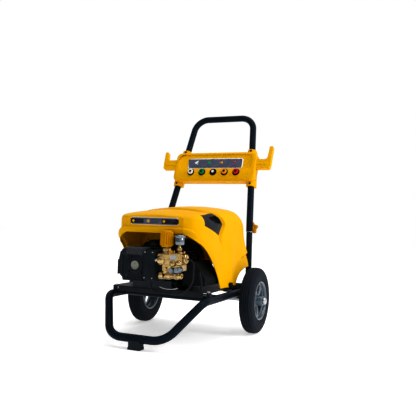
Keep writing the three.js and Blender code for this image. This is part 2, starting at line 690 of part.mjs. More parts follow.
// ---- assembly -----------------------------------------------------------------------------------
add('front_loop', frontLoop(), frameBlue)
add('front_foot', frontFoot(), rubber)
add('cross_member_front', crossMember(-290), frameBlue)
add('cross_member_rear', crossMember(48), frameBlue)
add('base_plate', basePlate(), plateGrey)
add('axle', bar('x', AXLE.radius, -AXLE.half, AXLE.half, 0, 0, WHEEL.radius, 16), steel)
for (const [word, side] of SIDES) {
  add(`side_rail_${word}`, sideRail(side), frameBlue)
  add(`upright_${word}`, upright(side), frameBlue)
  add(`axle_bracket_${word}`, axleBracket(side), frameBlue)
  add(`axle_cap_${word}`, axleCap(side), black)
  add(`tyre_${word}`, tyre(side), rubber)
  add(`rim_${word}`, rim(side), rimGrey)
  add(`joint_knob_${word}`, jointKnob(side), yellow)
  add(`vent_${word}`, ventInsert(side), plateGrey)
  add(`hood_bracket_${word}`, hoodBracket(side), castBlack)
  add(`hood_knob_${word}`, hoodKnob(side), black)
  add(`panel_clamp_${word}`, panelClamp(side), yellow, handle)
  add(`hook_${word}`, hook(side), yellow, handle)
}
add('handle_tube', handleTube(), frameBlue)
add('nozzle_panel', panelShell(), yellow, handle)
add('nozzle_label', nozzleLabel(), labelGrey, handle)
Object.entries(nozzleColours).forEach(([colour, value], index) => {
  add(`nozzle_${colour}`, nozzle(nozzlePlaces()[index]), paint(value, 0.45), handle)
})
add('hood', hood(), yellow)
add('hood_label', hoodLabel(), labelGrey)
add('crankcase', crankcase(), castBlack)
add('crankcase_cover', crankcaseCover(), castBlack)
add('sight_glass', sightGlass(), glassOlive)
add('oil_cap', oilCap(), black)
add('pump_manifold', manifold(), brass)
add('unloader_knob', unloaderKnob(), yellow)
add('gauge_case', gaugeCase(), steel)
add('gauge_dial', gaugeDial(), dialWhite)
add('gauge_needle', gaugeNeedle(), black)
add('outlet_coupler', outletCoupler(), brass)
add('bypass_hose', bypassHose(), black)
add('motor_body', motorBody(), motorGrey)
add('motor_base', motorBase(), castBlack)
add('motor_rotor', rotor(), steel)
add('motor_fan_cover', fanCover(), motorGrey)
add('pump_support', pumpSupport(), castBlack)
add('terminal_box', terminalBox(), black)
add('power_switch', powerSwitch(), black)

handle.position.set(0, JOINT.y, JOINT.bend)
handle.rotation.x = -LEAN
machine.add(handle)
machine.position.y = AXLE_TO_MIDDLE

const group = new THREE.Group()
group.add(machine)

export default group
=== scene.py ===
"""Pressure washer on a two-wheeled tube frame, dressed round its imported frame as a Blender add-on."""
import json
import math

import bmesh
import bpy
import numpy as np
from mathutils import Matrix, Vector


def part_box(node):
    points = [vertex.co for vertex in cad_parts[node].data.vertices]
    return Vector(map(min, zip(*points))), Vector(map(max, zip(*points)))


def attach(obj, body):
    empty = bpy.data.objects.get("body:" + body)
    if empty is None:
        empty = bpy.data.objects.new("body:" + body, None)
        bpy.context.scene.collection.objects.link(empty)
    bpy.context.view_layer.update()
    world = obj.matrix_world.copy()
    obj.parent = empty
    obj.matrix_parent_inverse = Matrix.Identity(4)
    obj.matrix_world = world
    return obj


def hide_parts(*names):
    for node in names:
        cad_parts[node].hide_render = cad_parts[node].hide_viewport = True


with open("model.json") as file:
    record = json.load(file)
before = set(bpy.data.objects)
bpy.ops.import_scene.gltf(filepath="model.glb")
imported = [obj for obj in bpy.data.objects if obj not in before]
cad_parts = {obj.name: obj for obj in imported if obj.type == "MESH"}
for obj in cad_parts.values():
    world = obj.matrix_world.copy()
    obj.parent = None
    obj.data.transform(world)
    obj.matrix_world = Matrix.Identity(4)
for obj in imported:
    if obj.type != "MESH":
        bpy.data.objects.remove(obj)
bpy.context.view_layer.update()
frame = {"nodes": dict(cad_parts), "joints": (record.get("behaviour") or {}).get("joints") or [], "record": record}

bl_info = {
    "name": "Pressure Washer",
    "version": (1, 0, 0),
    "blender": (4, 5, 0),
    "location": "View3D > Sidebar > Washer",
    "description": "Builds the visible surfaces of a wheeled pressure washer round its frame",
    "category": "Add Mesh",
}

MM = 0.001


# ---- places taken from the frame, in millimetres from the axle's line -----------------------------
def box_of(node):
    """A node's lowest and highest corners, in millimetres measured from the axle's line."""
    low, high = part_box(node)
    shift = np.array([0.0, AXLE_Y, 0.0])
    return (np.array(low) - shift) / MM, (np.array(high) - shift) / MM


AXLE_Y = (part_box("axle")[0].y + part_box("axle")[1].y) / 2
AXLE_Z = sum(box_of("axle"))[2] / 2
RAIL = sum(box_of("side_rail_right")) / 2
TUBE_R = (box_of("side_rail_right")[1][0] - box_of("side_rail_right")[0][0]) / 2
JOINT = sum(box_of("upright_right")) / 2
UPRIGHT_R = (box_of("upright_right")[1][0] - box_of("upright_right")[0][0]) / 2
BEND_Z = box_of("upright_right")[1][2] + 2
SLEEVE_Z = box_of("handle_tube")[0][2]
WHEEL_R = box_of("tyre_right")[1][2] / 2
WHEEL_X = sum(box_of("tyre_right"))[0] / 2
PULL = next(joint["axis"] for joint in frame["joints"] if joint["name"] == "nozzle_red_pull")
LEAN = math.atan2(PULL[2], -PULL[1])
SIDES = (("left", -1.0), ("right", 1.0))
NOZZLES = ("white", "green", "black", "yellow", "red")
GRIP_HALF, GRIP_RISE, GRIP_CORNER = 135.0, 500.0, 62.0
HEAD_Y = -440.0
HOOD_FRONT = -406.0
HOOD_REAR = 58.0
SHAFT_X, SHAFT_Z = -35.0, 275.0

# ---- camera and light, in metres, degrees and watts ------------------------------------------------
CAMERA_PLACE = (0.9748, -2.1226, 0.4384)
CAMERA_TURN = {"yaw": 25.136, "pitch": -2.951, "roll": 1.749}
SENSOR, LENS, SHIFT_X, SHIFT_Y = 36.0, 51.46, 0.0596, -0.0485
CONTRAST_GAMMA = 0.8
# Name, place, disk diameter, power.
LAMPS = (("key", (2.9, -0.1, 2.2), 1.2, 44), ("fill", (-1.8, -2.6, 1.4), 1.4, 0.5),
         ("top", (0.3, 0.1, 3.0), 1.6, 30))
# The room is pale toward each of these directions: direction, then where the ramp starts and ends.
PALE_SIDES = (((0.0, 1.0, 0.0), -0.1, 0.35), ((0.8, 0.15, 0.58), -0.1, 0.95))
DIM_ROOM, BRIGHT_ROOM = 0.3, 1.0
FLOOR_HALF, FLOOR_POINTS = 9000, 13


def on_handle(points):
    """Points given across, out from the tubes' plane and up along them, turned to the handle's lean."""
    x, out, up = np.moveaxis(np.asarray(points, float), -1, 0)
    y = JOINT[1] + out * math.cos(LEAN) + up * math.sin(LEAN)
    z = BEND_Z - out * math.sin(LEAN) + up * math.cos(LEAN)
    return np.stack([x, y, z], axis=-1)


def leant(surface):
    """A surface given across, out and up along the tubes, turned to the handle's lean."""
    return on_handle(surface[0]), surface[1]


def tube_reach(up):
    """How far out from the middle the handle's tube stands at a height up along it."""
    return RAIL[0] - (RAIL[0] - GRIP_HALF) * up / GRIP_RISE


# ---- surfaces -------------------------------------------------------------------------------------
def grid(points, wrap_rows=False, wrap_columns=False):
    """A surface from points[row, column]: a quad between each four neighbours."""
    rows, columns = points.shape[:2]
    index = np.arange(rows * columns).reshape(rows, columns)
    if wrap_rows:
        index = np.vstack([index, index[:1]])
    if wrap_columns:
        index = np.hstack([index, index[:, :1]])
    quads = np.stack([index[:-1, :-1], index[1:, :-1], index[1:, 1:], index[:-1, 1:]], axis=-1)
    return points.reshape(-1, 3), [quads.reshape(-1, 4)]


def joined(*surfaces):
    """Several surfaces as one, each with its own vertices."""
    points, faces, start = [], [], 0
    for some_points, some_faces in surfaces:
        points.append(np.asarray(some_points, float).reshape(-1, 3))
        faces += [np.asarray(group) + start for group in some_faces]
        start += len(points[-1])
    return np.vstack(points), faces


def moved(surface, x=0.0, y=0.0, z=0.0):
    """A surface shifted by x, y and z."""
    return surface[0] + np.array([x, y, z]), surface[1]


def turned(profile, axis, middle, sides=48, ripple=None):
    """A profile of (along, radius) points spun about an axis through the middle.
    ripple(angle, along) multiplies the radius, for flutes, lobes and knurls."""
    profile = np.asarray(profile, float)
    angle = np.linspace(0, 2 * np.pi, sides, endpoint=False)
    along = profile[:, :1] + 0 * angle
    radius = profile[:, 1:] + 0 * angle
    if ripple is not None:
        radius = radius * ripple(angle + 0 * along, along)
    around = [radius * np.cos(angle), radius * np.sin(angle)]
    order = {"x": (along, *around), "y": (around[1], along, around[0]), "z": (*around, along)}[axis]
    return grid(np.stack(order, axis=-1) + np.asarray(middle, float), wrap_columns=True)


def rod(axis, radius, low, high, middle, sides=40, chamfer=0.0):
    """A round bar from low to high along an axis, with a small chamfer at each end."""
    profile = [(low, 0), (low, radius - chamfer), (low + chamfer, radius), (high - chamfer, radius),
               (high, radius - chamfer), (high, 0)]
    place = np.array(middle, float)
    place["xyz".index(axis)] = 0
    return turned(profile, axis, place, sides)


def prism(outline, low, high, axis):
    """A flat outline pushed from low to high along an axis. The outline's two numbers are the other
    two coordinates, in x, y, z order."""
    outline = np.asarray(outline, float)
    ends = []
    for level in (low, high):
        flat = np.full(len(outline), level)
        order = {"x": (flat, outline[:, 0], outline[:, 1]), "y": (outline[:, 0], flat, outline[:, 1]),
                 "z": (outline[:, 0], outline[:, 1], flat)}[axis]
        ends.append(np.stack(order, axis=-1))
    count = len(outline)
    ring = np.arange(count)
    after = np.roll(ring, -1)
    walls = np.stack([ring, after, after + count, ring + count], axis=-1)
    return np.vstack(ends), [walls, ring[None, ::-1], ring[None, :] + count]


def block(low, high):
    """A box between two opposite corners."""
    (x0, y0, z0), (x1, y1, z1) = low, high
    return prism([(x0, y0), (x1, y0), (x1, y1), (x0, y1)], z0, z1, "z")


def hexagon(axis, radius, low, high, middle, phase=0.0):
    """A six-sided bar, its corners at the radius."""
    angle = np.arange(6) * math.pi / 3 + phase
    others = [value for value, name in zip(middle, "xyz") if name != axis]
    outline = np.stack([others[0] + radius * np.cos(angle), others[1] + radius * np.sin(angle)], axis=-1)
    return prism(outline, low, high, axis)


def round_corners(half_width, half_height, radius, count):
    """Points evenly spaced along a rounded rectangle about (0, 0), anticlockwise from its right side."""
    quarter = np.linspace(0, np.pi / 2, 13)
    corners = []
    for turn, sx, sy in ((0, 1, 1), (1, -1, 1), (2, -1, -1), (3, 1, -1)):
        angle = quarter + turn * np.pi / 2
        corners.append(np.stack([sx * (half_width - radius) + radius * np.cos(angle),
                                 sy * (half_height - radius) + radius * np.sin(angle)], axis=-1))
    loop = np.vstack(corners + [corners[0][:1]])
    length = np.concatenate([[0], np.cumsum(np.linalg.norm(np.diff(loop, axis=0), axis=1))])
    at = np.linspace(0, length[-1], count, endpoint=False)
    return np.stack([np.interp(at, length, loop[:, 0]), np.interp(at, length, loop[:, 1])], axis=-1)


def step(value, low, high):
    """A smooth rise from 0 at low to 1 at high."""
    share = np.clip((value - low) / (high - low), 0, 1)
    return share * share * (3 - 2 * share)


def through(knots, values, at):
    """A smooth curve through values at the knots: cubic pieces whose slopes are the knots' own."""
    knots, values, at = (np.asarray(item, float) for item in (knots, values, at))
    slope = np.gradient(values, knots)
    index = np.clip(np.searchsorted(knots, at) - 1, 0, len(knots) - 2)
    width = knots[index + 1] - knots[index]
    t = np.clip((at - knots[index]) / width, 0, 1)
    near = (1 + 2 * t) * (1 - t) ** 2 * values[index] + t * (1 - t) ** 2 * width * slope[index]
    far = t * t * (3 - 2 * t) * values[index + 1] + t * t * (t - 1) * width * slope[index + 1]
    return near + far


def bend(corners, radii, arc_steps=14, straight_steps=4):
    """A path of straight runs joined by circular arcs of the given radii at its inner corners."""
    corners = [np.asarray(corner, float) for corner in corners]
    path = [corners[0][None]]
    for before, corner, after, radius in zip(corners, corners[1:], corners[2:], radii):
        into = (corner - before) / np.linalg.norm(corner - before)
        out = (after - corner) / np.linalg.norm(after - corner)
        turn = math.acos(np.clip(into @ out, -1, 1))
        side = (out - into * math.cos(turn)) / math.sin(turn)
        start = corner - into * radius * math.tan(turn / 2)
        angle = np.linspace(0, turn, arc_steps)[:, None]
        arc = start + into * radius * np.sin(angle) + side * radius * (1 - np.cos(angle))
        share = np.linspace(0, 1, straight_steps + 1)[1:-1, None]
        path += [path[-1][-1] + (arc[0] - path[-1][-1]) * share, arc]
    share = np.linspace(0, 1, straight_steps + 1)[1:, None]
    path.append(path[-1][-1] + (corners[-1] - path[-1][-1]) * share)
    return np.vstack(path)


def tube(path, radius, reference, sides=32, caps=True):
    """A circle carried along a path. The reference direction is never along the path, and it keeps
    the circle from twisting."""
    tangent = np.gradient(path, axis=0)
    tangent /= np.linalg.norm(tangent, axis=1, keepdims=True)
    across = np.cross(tangent, reference)
    across /= np.linalg.norm(across, axis=1, keepdims=True)
    above = np.cross(across, tangent)
    angle = np.linspace(0, 2 * np.pi, sides, endpoint=False)[None, :, None]
    radius = np.broadcast_to(np.asarray(radius, float).reshape(-1, 1, 1), (len(path), 1, 1))
    rings = path[:, None] + radius * (across[:, None] * np.cos(angle) + above[:, None] * np.sin(angle))
    if caps:
        first = np.repeat(path[:1, None], sides, axis=1)
        last = np.repeat(path[-1:, None], sides, axis=1)
        rings = np.vstack([first, rings, last])
    return grid(rings, wrap_columns=True)


# ---- materials ------------------------------------------------------------------------------------
class Value:
    """A shader socket that takes part in arithmetic by adding Math nodes."""

    def __init__(self, paints, socket):
        self.paints, self.socket = paints, socket

    def math(self, operation, *others):
        inputs = {index: other for index, other in enumerate((self, *others))}
        return self.paints.node("ShaderNodeMath", {"operation": operation}, inputs)

    def __add__(self, other):
        return self.math("ADD", other)

    def __sub__(self, other):
        return self.math("SUBTRACT", other)

    def __mul__(self, other):
        return self.math("MULTIPLY", other)

    def __radd__(self, other):
        return self + other

    def __rmul__(self, other):
        return self * other

    def __rsub__(self, other):
        return self * -1.0 + other

    def clamped(self):
        """The value held between 0 and 1."""
        return self.math("MINIMUM", 1.0).math("MAXIMUM", 0.0)

    def between(self, low, high):
        """0 below low, 1 above high, and a straight ramp between."""
        inputs = {"Value": self, "From Min": low, "From Max": high}
        return self.paints.node("ShaderNodeMapRange", {"clamp": True}, inputs)


class Paints:
    """One material's node tree round its Principled shader."""

    def __init__(self, name):
        self.material = bpy.data.materials.new(name)
        self.material.use_nodes = True
        self.tree = self.material.node_tree
        self.shader = self.tree.nodes["Principled BSDF"]
        self.place = self.node("ShaderNodeTexCoord", output="Object")

    def node(self, kind, settings=None, inputs=None, output=0):
        """A new node: its settings first, then the values or links of its sockets."""
        made = self.tree.nodes.new(kind)
        for key, value in (settings or {}).items():
            if key == "stops":
                while len(made.color_ramp.elements) < len(value):
                    made.color_ramp.elements.new(1.0)
                for element, (position, colour) in zip(made.color_ramp.elements, value):
                    element.position, element.color = position, (*colour, 1.0)
            else:
                setattr(made, key, value)
        for key, value in (inputs or {}).items():
            self.feed(made.inputs[key], value)
        return Value(self, made.outputs[output])

    def feed(self, socket, value):
        """Links a value to a socket, or sets the socket's own constant."""
        if isinstance(value, Value):
            self.tree.links.new(value.socket, socket)
        elif hasattr(socket.default_value, "__len__") and len(value) == 3 and len(socket.default_value) == 4:
            socket.default_value = (*value, 1.0)
        else:
            socket.default_value = value

    def noise(self, scale, detail=3.0, roughness=0.5, stretch=None):
        """Cloudy noise on object coordinates, stretched along the axes where asked."""
        place = self.place
        if stretch:
            place = self.node("ShaderNodeMapping", {}, {"Vector": place, "Scale": stretch})
        inputs = {"Vector": place, "Scale": scale, "Detail": detail, "Roughness": roughness}
        return self.node("ShaderNodeTexNoise", {}, inputs)

    def mix(self, factor, first, second):
        """A colour between two colours or colour links."""
        inputs = {0: factor, 6: first, 7: second}
        return self.node("ShaderNodeMix", {"data_type": "RGBA"}, inputs, output=2)

    def height(self, axis):
        """One object coordinate, in metres."""
        return self.node("ShaderNodeSeparateXYZ", {}, {"Vector": self.place}, output=axis)

    def bump(self, height, strength, distance):
        """A normal tilted by a height."""
        inputs = {"Height": height, "Strength": strength, "Distance": distance}
        return self.node("ShaderNodeBump", {}, inputs)

    def finish(self, **sockets):
        """Feeds the Principled shader's sockets, and returns the material."""
        for name, value in sockets.items():
            self.feed(self.shader.inputs[name.replace("_", " ")], value)
        return self.material


def edge_wear(paints, low=0.52, high=0.62):
    """A mask of worn high spots: the surface's pointiness broken up by noise."""
    sharp = paints.node("ShaderNodeNewGeometry", output="Pointiness")
    return (sharp + paints.noise(90.0, 4.0) * 0.04 - 0.02).between(low, high)


def moulded_plastic(name, colour, roughness=0.4, grain=0.00002, dust=0.01):
    """Injection-moulded plastic: faint colour drift, a fine skin, and dulled patches."""
    paints = Paints(name)
    drift = paints.noise(9.0, 3.0)
    speck = paints.noise(900.0, 2.0)
    dull = paints.noise(38.0, 5.0, 0.65).between(0.45, 0.7)
    dark = tuple(channel * 0.95 for channel in colour)
    pale = tuple(min(channel + dust * 0.12, 1.0) for channel in colour)
    base = paints.mix(drift.between(0.35, 0.65), dark, colour)
    base = paints.mix(dull * dust, base, pale)
    skin = paints.noise(420.0, 2.0) * 0.6 + speck * 0.4
    return paints.finish(Base_Color=base, Roughness=dull * 0.05 + drift * 0.04 + (roughness - 0.03),
                         Normal=paints.bump(skin, 0.15, grain), Specular_IOR_Level=0.015)


def coated_tube(name, colour):
    """Powder coat on steel tube: orange-peel skin, faint flecks, and thin wear on sharp edges."""
    paints = Paints(name)
    peel = paints.noise(260.0, 2.0, 0.4)
    drift = paints.noise(14.0, 4.0)
    wear = edge_wear(paints, 0.56, 0.68)
    fleck = paints.noise(1400.0, 1.0).between(0.62, 0.72)
    lit = tuple(channel * 1.5 for channel in colour)
    base = paints.mix(drift.between(0.35, 0.7), colour, lit)
    base = paints.mix(fleck * 0.15, base, tuple(channel * 2.0 for channel in colour))
    base = paints.mix(wear * 0.1, base, (0.2, 0.22, 0.24))
    return paints.finish(Base_Color=base, Roughness=drift * 0.14 + 0.24,
                         Normal=paints.bump(peel, 0.2, 0.0001), Specular_IOR_Level=0.035)


def rubber(name, colour, roughness=0.78):
    """Tyre and foot rubber: greyed by dust in patches, which are also rougher."""
    paints = Paints(name)
    coarse = paints.noise(60.0, 6.0, 0.7)
    fine = paints.noise(520.0, 3.0)
    dusty = (paints.noise(22.0, 5.0, 0.7).between(0.42, 0.72) * 0.2).clamped()
    base = paints.mix(coarse.between(0.3, 0.7), colour, tuple(channel * 1.45 for channel in colour))
    base = paints.mix(dusty, base, (0.03, 0.034, 0.038))
    return paints.finish(Base_Color=base, Roughness=dusty * 0.15 + fine * 0.08 + (roughness - 0.08),
                         Normal=paints.bump(fine * 0.5 + coarse * 0.5, 0.3, 0.0003), Specular_IOR_Level=0.06)


def bare_metal(name, colour, roughness=0.28, grain=0.0002, stain=(0.25, 0.22, 0.18), stained=0.25):
    """Machined or plated metal with drifting tarnish and fine tool marks."""
    paints = Paints(name)
    tarnish = paints.noise(75.0, 5.0, 0.65).between(0.45, 0.75)
    marks = paints.noise(700.0, 2.0, 0.5, (1.0, 1.0, 6.0))
    dark = tuple(channel * 0.82 for channel in colour)
    base = paints.mix(paints.noise(30.0, 3.0).between(0.3, 0.7), colour, dark)
    base = paints.mix(tarnish * stained, base, stain)
    return paints.finish(Base_Color=base, Metallic=1.0,
                         Roughness=tarnish * 0.16 + marks * 0.06 + (roughness - 0.03),
                         Normal=paints.bump(marks, 0.2, grain))


def cast_metal(name, colour, roughness=0.5, metallic=0.3):
    """Painted sand casting: pebbled skin with dull and shiny patches."""
    paints = Paints(name)
    pebble = paints.noise(340.0, 3.0, 0.6)
    drift = paints.noise(28.0, 4.0)
    wear = edge_wear(paints, 0.55, 0.68)
    base = paints.mix(drift.between(0.3, 0.7), colour, tuple(channel * 1.6 for channel in colour))
    base = paints.mix(wear * 0.12, base, (0.16, 0.18, 0.2))
    return paints.finish(Base_Color=base, Metallic=metallic, Roughness=drift * 0.2 + (roughness - 0.1),
                         Normal=paints.bump(pebble, 0.3, 0.0003), Specular_IOR_Level=0.04)


def wheel_paint(name, colour):
    """Silver wheel paint with a slight metal flake and patches of road grime."""
    paints = Paints(name)
    flake = paints.noise(1600.0, 1.0)
    grime = paints.noise(48.0, 6.0, 0.7).between(0.48, 0.75)
    base = paints.mix(flake.between(0.4, 0.6), tuple(channel * 0.85 for channel in colour), colour)
    base = paints.mix(grime * 0.4, base, (0.13, 0.14, 0.15))
    return paints.finish(Base_Color=base, Metallic=0.55, Roughness=grime * 0.25 + 0.3,
                         Normal=paints.bump(flake, 0.12, 0.0002), Coat_Weight=0.3, Coat_Roughness=0.25)


def printed_film(name, colour):
    """Printed label film: nearly flat, with a faint weave of print dots."""
    paints = Paints(name)
    dots = paints.noise(1500.0, 1.0)
    drift = paints.noise(40.0, 3.0)
    base = paints.mix(drift.between(0.3, 0.7), colour, tuple(channel * 1.3 for channel in colour))
    return paints.finish(Base_Color=base, Roughness=dots * 0.06 + 0.32,
                         Normal=paints.bump(dots, 0.08, 0.0001))


def sight_window(name, colour):
    """A domed window over oil, its colour clouded by noise."""
    paints = Paints(name)
    cloud = paints.noise(160.0, 4.0, 0.6)
    base = paints.mix(cloud.between(0.35, 0.65), colour, tuple(channel * 1.35 for channel in colour))
    return paints.finish(Base_Color=base, Roughness=cloud * 0.1 + 0.12, Coat_Weight=0.6, Coat_Roughness=0.08)


def floor_paint(name, colour):
    """Matt studio floor with a barely visible mottle."""
    paints = Paints(name)
    mottle = paints.noise(1.4, 2.0)
    base = paints.mix(mottle.between(0.3, 0.7), colour, tuple(channel * 0.985 for channel in colour))
    return paints.finish(Base_Color=base, Roughness=0.9, Emission_Color=(1.0, 1.0, 1.0),
                         Emission_Strength=0.46)


def chosen(which):
    """A colour set in the side panel."""
    return tuple(getattr(bpy.context.scene.washer_colours, which))


FINISHES = {
    "frame": lambda: coated_tube("frame_powder_coat", chosen("coat")),
    "plate": lambda: cast_metal("plate_textured_coat", chosen("tray"), 0.5, 0.2),
    "rubber": lambda: rubber("foot_rubber", (0.012, 0.016, 0.02)),
    "tyre": lambda: rubber("tyre_rubber", chosen("tyre"), 0.72),
    "rim": lambda: wheel_paint("wheel_silver", chosen("rim")),
    "steel": lambda: bare_metal("satin_steel", (0.45, 0.47, 0.5), 0.3),
    "chrome": lambda: bare_metal("plated_chrome", (0.21, 0.25, 0.29), 0.14, 0.0001, (0.1, 0.12, 0.14), 0.4),
    "brass": lambda: bare_metal("cast_brass", chosen("brass"), 0.2, 0.0002, (0.16, 0.10, 0.03), 0.7),
    "cast_black": lambda: cast_metal("black_casting", (0.010, 0.013, 0.016), 0.5),
    "motor": lambda: cast_metal("motor_enamel", (0.006, 0.008, 0.010), 0.48),
    "black_plastic": lambda: moulded_plastic("black_plastic", (0.010, 0.011, 0.012), 0.42),
    "grey_plastic": lambda: moulded_plastic("grey_plastic", (0.075, 0.08, 0.088), 0.4, 0.0002),
    "yellow_plastic": lambda: moulded_plastic("yellow_shell_plastic", chosen("shell"), 0.4),
    "yellow_knob": lambda: moulded_plastic("yellow_knob_plastic", chosen("knob"), 0.33),
    "label": lambda: printed_film("label_film", chosen("label")),
    "sight_glass": lambda: sight_window("sight_window", (0.12, 0.13, 0.095)),
    "dial": lambda: printed_film("dial_card", (0.78, 0.78, 0.76)),
    "hose": lambda: rubber("hose_rubber", (0.010, 0.011, 0.013), 0.5),
    "nozzle_white": lambda: moulded_plastic("nozzle_white_plastic", (0.74, 0.8, 0.82), 0.3),
    "nozzle_green": lambda: moulded_plastic("nozzle_green_plastic", (0.002, 0.25, 0.07), 0.3),
    "nozzle_black": lambda: moulded_plastic("nozzle_black_plastic", (0.008, 0.009, 0.01), 0.3),
    "nozzle_yellow": lambda: moulded_plastic("nozzle_amber_plastic", (0.78, 0.30, 0.015), 0.3),
    "nozzle_red": lambda: moulded_plastic("nozzle_red_plastic", (0.55, 0.014, 0.02), 0.3),
}
MADE = {}


def finish_of(slot):
    """The material of a slot, made once."""
    if slot not in MADE:
        MADE[slot] = FINISHES[slot]()
    return MADE[slot]


# ---- pieces ---------------------------------------------------------------------------------------
def piece(name, surface, slot, body, replaces=(), bevel=0.0, segments=2, angle=35, wall=0.0, weld=2e-6):
    """Puts a surface into the scene as one piece that rides on a body."""
    points, faces = surface
    points = points * MM + np.array([0.0, AXLE_Y, 0.0])
    mesh = bpy.data.meshes.new(name)
    mesh.from_pydata(points.tolist(), [], [face for group in faces for face in np.asarray(group).tolist()])
    edit = bmesh.new()
    edit.from_mesh(mesh)
    bmesh.ops.remove_doubles(edit, verts=edit.verts, dist=weld)
    bmesh.ops.dissolve_degenerate(edit, edges=edit.edges, dist=1e-7)
    bmesh.ops.recalc_face_normals(edit, faces=edit.faces)
    edit.to_mesh(mesh)
    edit.free()
    mesh.shade_smooth()
    made = bpy.data.objects.new(name, mesh)
    bpy.context.collection.objects.link(made)
    mesh.materials.append(finish_of(slot))
    if wall:
        shell = made.modifiers.new("wall", "SOLIDIFY")
        shell.thickness, shell.offset = wall * MM, -1.0
    if bevel:
        soften = made.modifiers.new("edges", "BEVEL")
        soften.width, soften.segments, soften.angle_limit = bevel * MM, segments, math.radians(angle)
        soften.limit_method, soften.harden_normals = "ANGLE", False
        made.modifiers.new("shading", "WEIGHTED_NORMAL")
    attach(made, body)
    if replaces:
        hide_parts(*replaces)
    return made


def coat_kept_nodes():
    """Gives every frame node that stays its own slot's finish."""
    slots = {part["node"]: part["material_slot"] for part in frame["record"]["subparts"]}
    for name, node in frame["nodes"].items():
        holder = node if hasattr(node, "material_slots") else bpy.data.objects[name]
        if not holder.material_slots:
            holder.data.materials.append(None)
        for item in holder.material_slots:
            item.material = finish_of(slots[name])


def camera_and_light():
    """The camera in front and to the right of the machine, three soft lamps and a pale room."""
    yaw, pitch, roll = (math.radians(CAMERA_TURN[name]) for name in ("yaw", "pitch", "roll"))
    ahead = Vector((-math.sin(yaw) * math.cos(pitch), math.cos(yaw) * math.cos(pitch), -math.sin(pitch)))
    level = ahead.cross(Vector((0, 0, 1))).normalized()
    above = level.cross(ahead)
    right = level * math.cos(roll) + above * math.sin(roll)
    up = above * math.cos(roll) - level * math.sin(roll)
    data = bpy.data.cameras.new("camera")
    data.sensor_width, data.lens, data.shift_x, data.shift_y = SENSOR, LENS, SHIFT_X, SHIFT_Y
    camera = bpy.data.objects.new("camera", data)
    camera.matrix_world = Matrix((right, up, -ahead)).transposed().to_4x4()
    camera.matrix_world.translation = Vector(CAMERA_PLACE)
    bpy.context.collection.objects.link(camera)
    bpy.context.scene.camera = camera
    for name, place, size, power in LAMPS:
        lamp = bpy.data.lights.new(name, "AREA")
        lamp.shape, lamp.size, lamp.energy = "DISK", size, power
        light = bpy.data.objects.new(name, lamp)
        light.location = place
        light.rotation_euler = (Vector((0, 0, 0.4)) - Vector(place)).to_track_quat("-Z", "Y").to_euler()
        bpy.context.collection.objects.link(light)
    bpy.context.scene.view_settings.view_transform = "Standard"
    bpy.context.scene.view_settings.gamma = CONTRAST_GAMMA
    world = bpy.data.worlds.new("pale_room")
    bpy.context.scene.world = world
    world.use_nodes = True
    tree = world.node_tree
    background = tree.nodes["Background"]
    background.inputs["Color"].default_value = (1.0, 1.0, 1.0, 1.0)
    direction = tree.nodes.new("ShaderNodeTexCoord").outputs["Generated"]
    levels = []
    for toward, dim, bright in PALE_SIDES:
        facing = tree.nodes.new("ShaderNodeVectorMath")
        facing.operation = "DOT_PRODUCT"
        tree.links.new(direction, facing.inputs[0])
        facing.inputs[1].default_value = toward
        ramp = tree.nodes.new("ShaderNodeMapRange")
        tree.links.new(facing.outputs["Value"], ramp.inputs["Value"])
        for name, value in (("From Min", dim), ("From Max", bright), ("To Min", DIM_ROOM),
                            ("To Max", BRIGHT_ROOM)):
            ramp.inputs[name].default_value = value
        levels.append(ramp.outputs["Result"])
    brighter = tree.nodes.new("ShaderNodeMath")
    brighter.operation = "MAXIMUM"
    tree.links.new(levels[0], brighter.inputs[0])
    tree.links.new(levels[1], brighter.inputs[1])
    tree.links.new(brighter.outputs[0], background.inputs["Strength"])


def floor():
    """A wide level floor at z = 0, its height the same everywhere."""
    across = np.linspace(-FLOOR_HALF, FLOOR_HALF, FLOOR_POINTS)
    x, y = np.meshgrid(across, across, indexing="ij")
    points, faces = grid(np.stack([x, y, 0 * x], axis=-1))
    mesh = bpy.data.meshes.new("floor")
    mesh.from_pydata((points * MM).tolist(), [], faces[0].tolist())
    made = bpy.data.objects.new("floor", mesh)
    bpy.context.collection.objects.link(made)
    mesh.materials.append(floor_paint("floor_paint", (0.92, 0.92, 0.92)))


# ---- hose -----------------------------------------------------------------------------------------
HOSE_CORNERS = ((147, 303), (173, 303), (173, 186), (12, 186), (12, 211.2))
HOSE_BENDS = (25.5, 62, 25)
HOSE_R = 3.0


def bypass_hose():
    """A round hose: straight runs joined by arcs in one upright plane, eased forward as it falls."""
    path = bend([(x, 0, z) for x, z in HOSE_CORNERS], HOSE_BENDS, 22, 10)
    drop = step(HOSE_CORNERS[0][1] - path[:, 2], 0, 40)
    path[:, 1] = HEAD_Y - 6 * drop * np.minimum((path[:, 0] - HOSE_CORNERS[-1][0]) / 30, 1)
    made = piece("bypass_hose_tube", tube(path, HOSE_R, (0, 1, 0), 24), "hose", "chassis", ["bypass_hose"])
    metres = path * MM + np.array([0.0, AXLE_Y, 0.0])


# ---- frame ----------------------------------------------------------------------------------------
def tube_rings(path, radius, reference, sides=40):
    """The rings of a tube, path + radius (cos, sin), as an array of [ring, corner], without its ends."""
    points, _ = tube(path, radius, reference, sides, caps=False)
    return points.reshape(len(path), sides, 3)


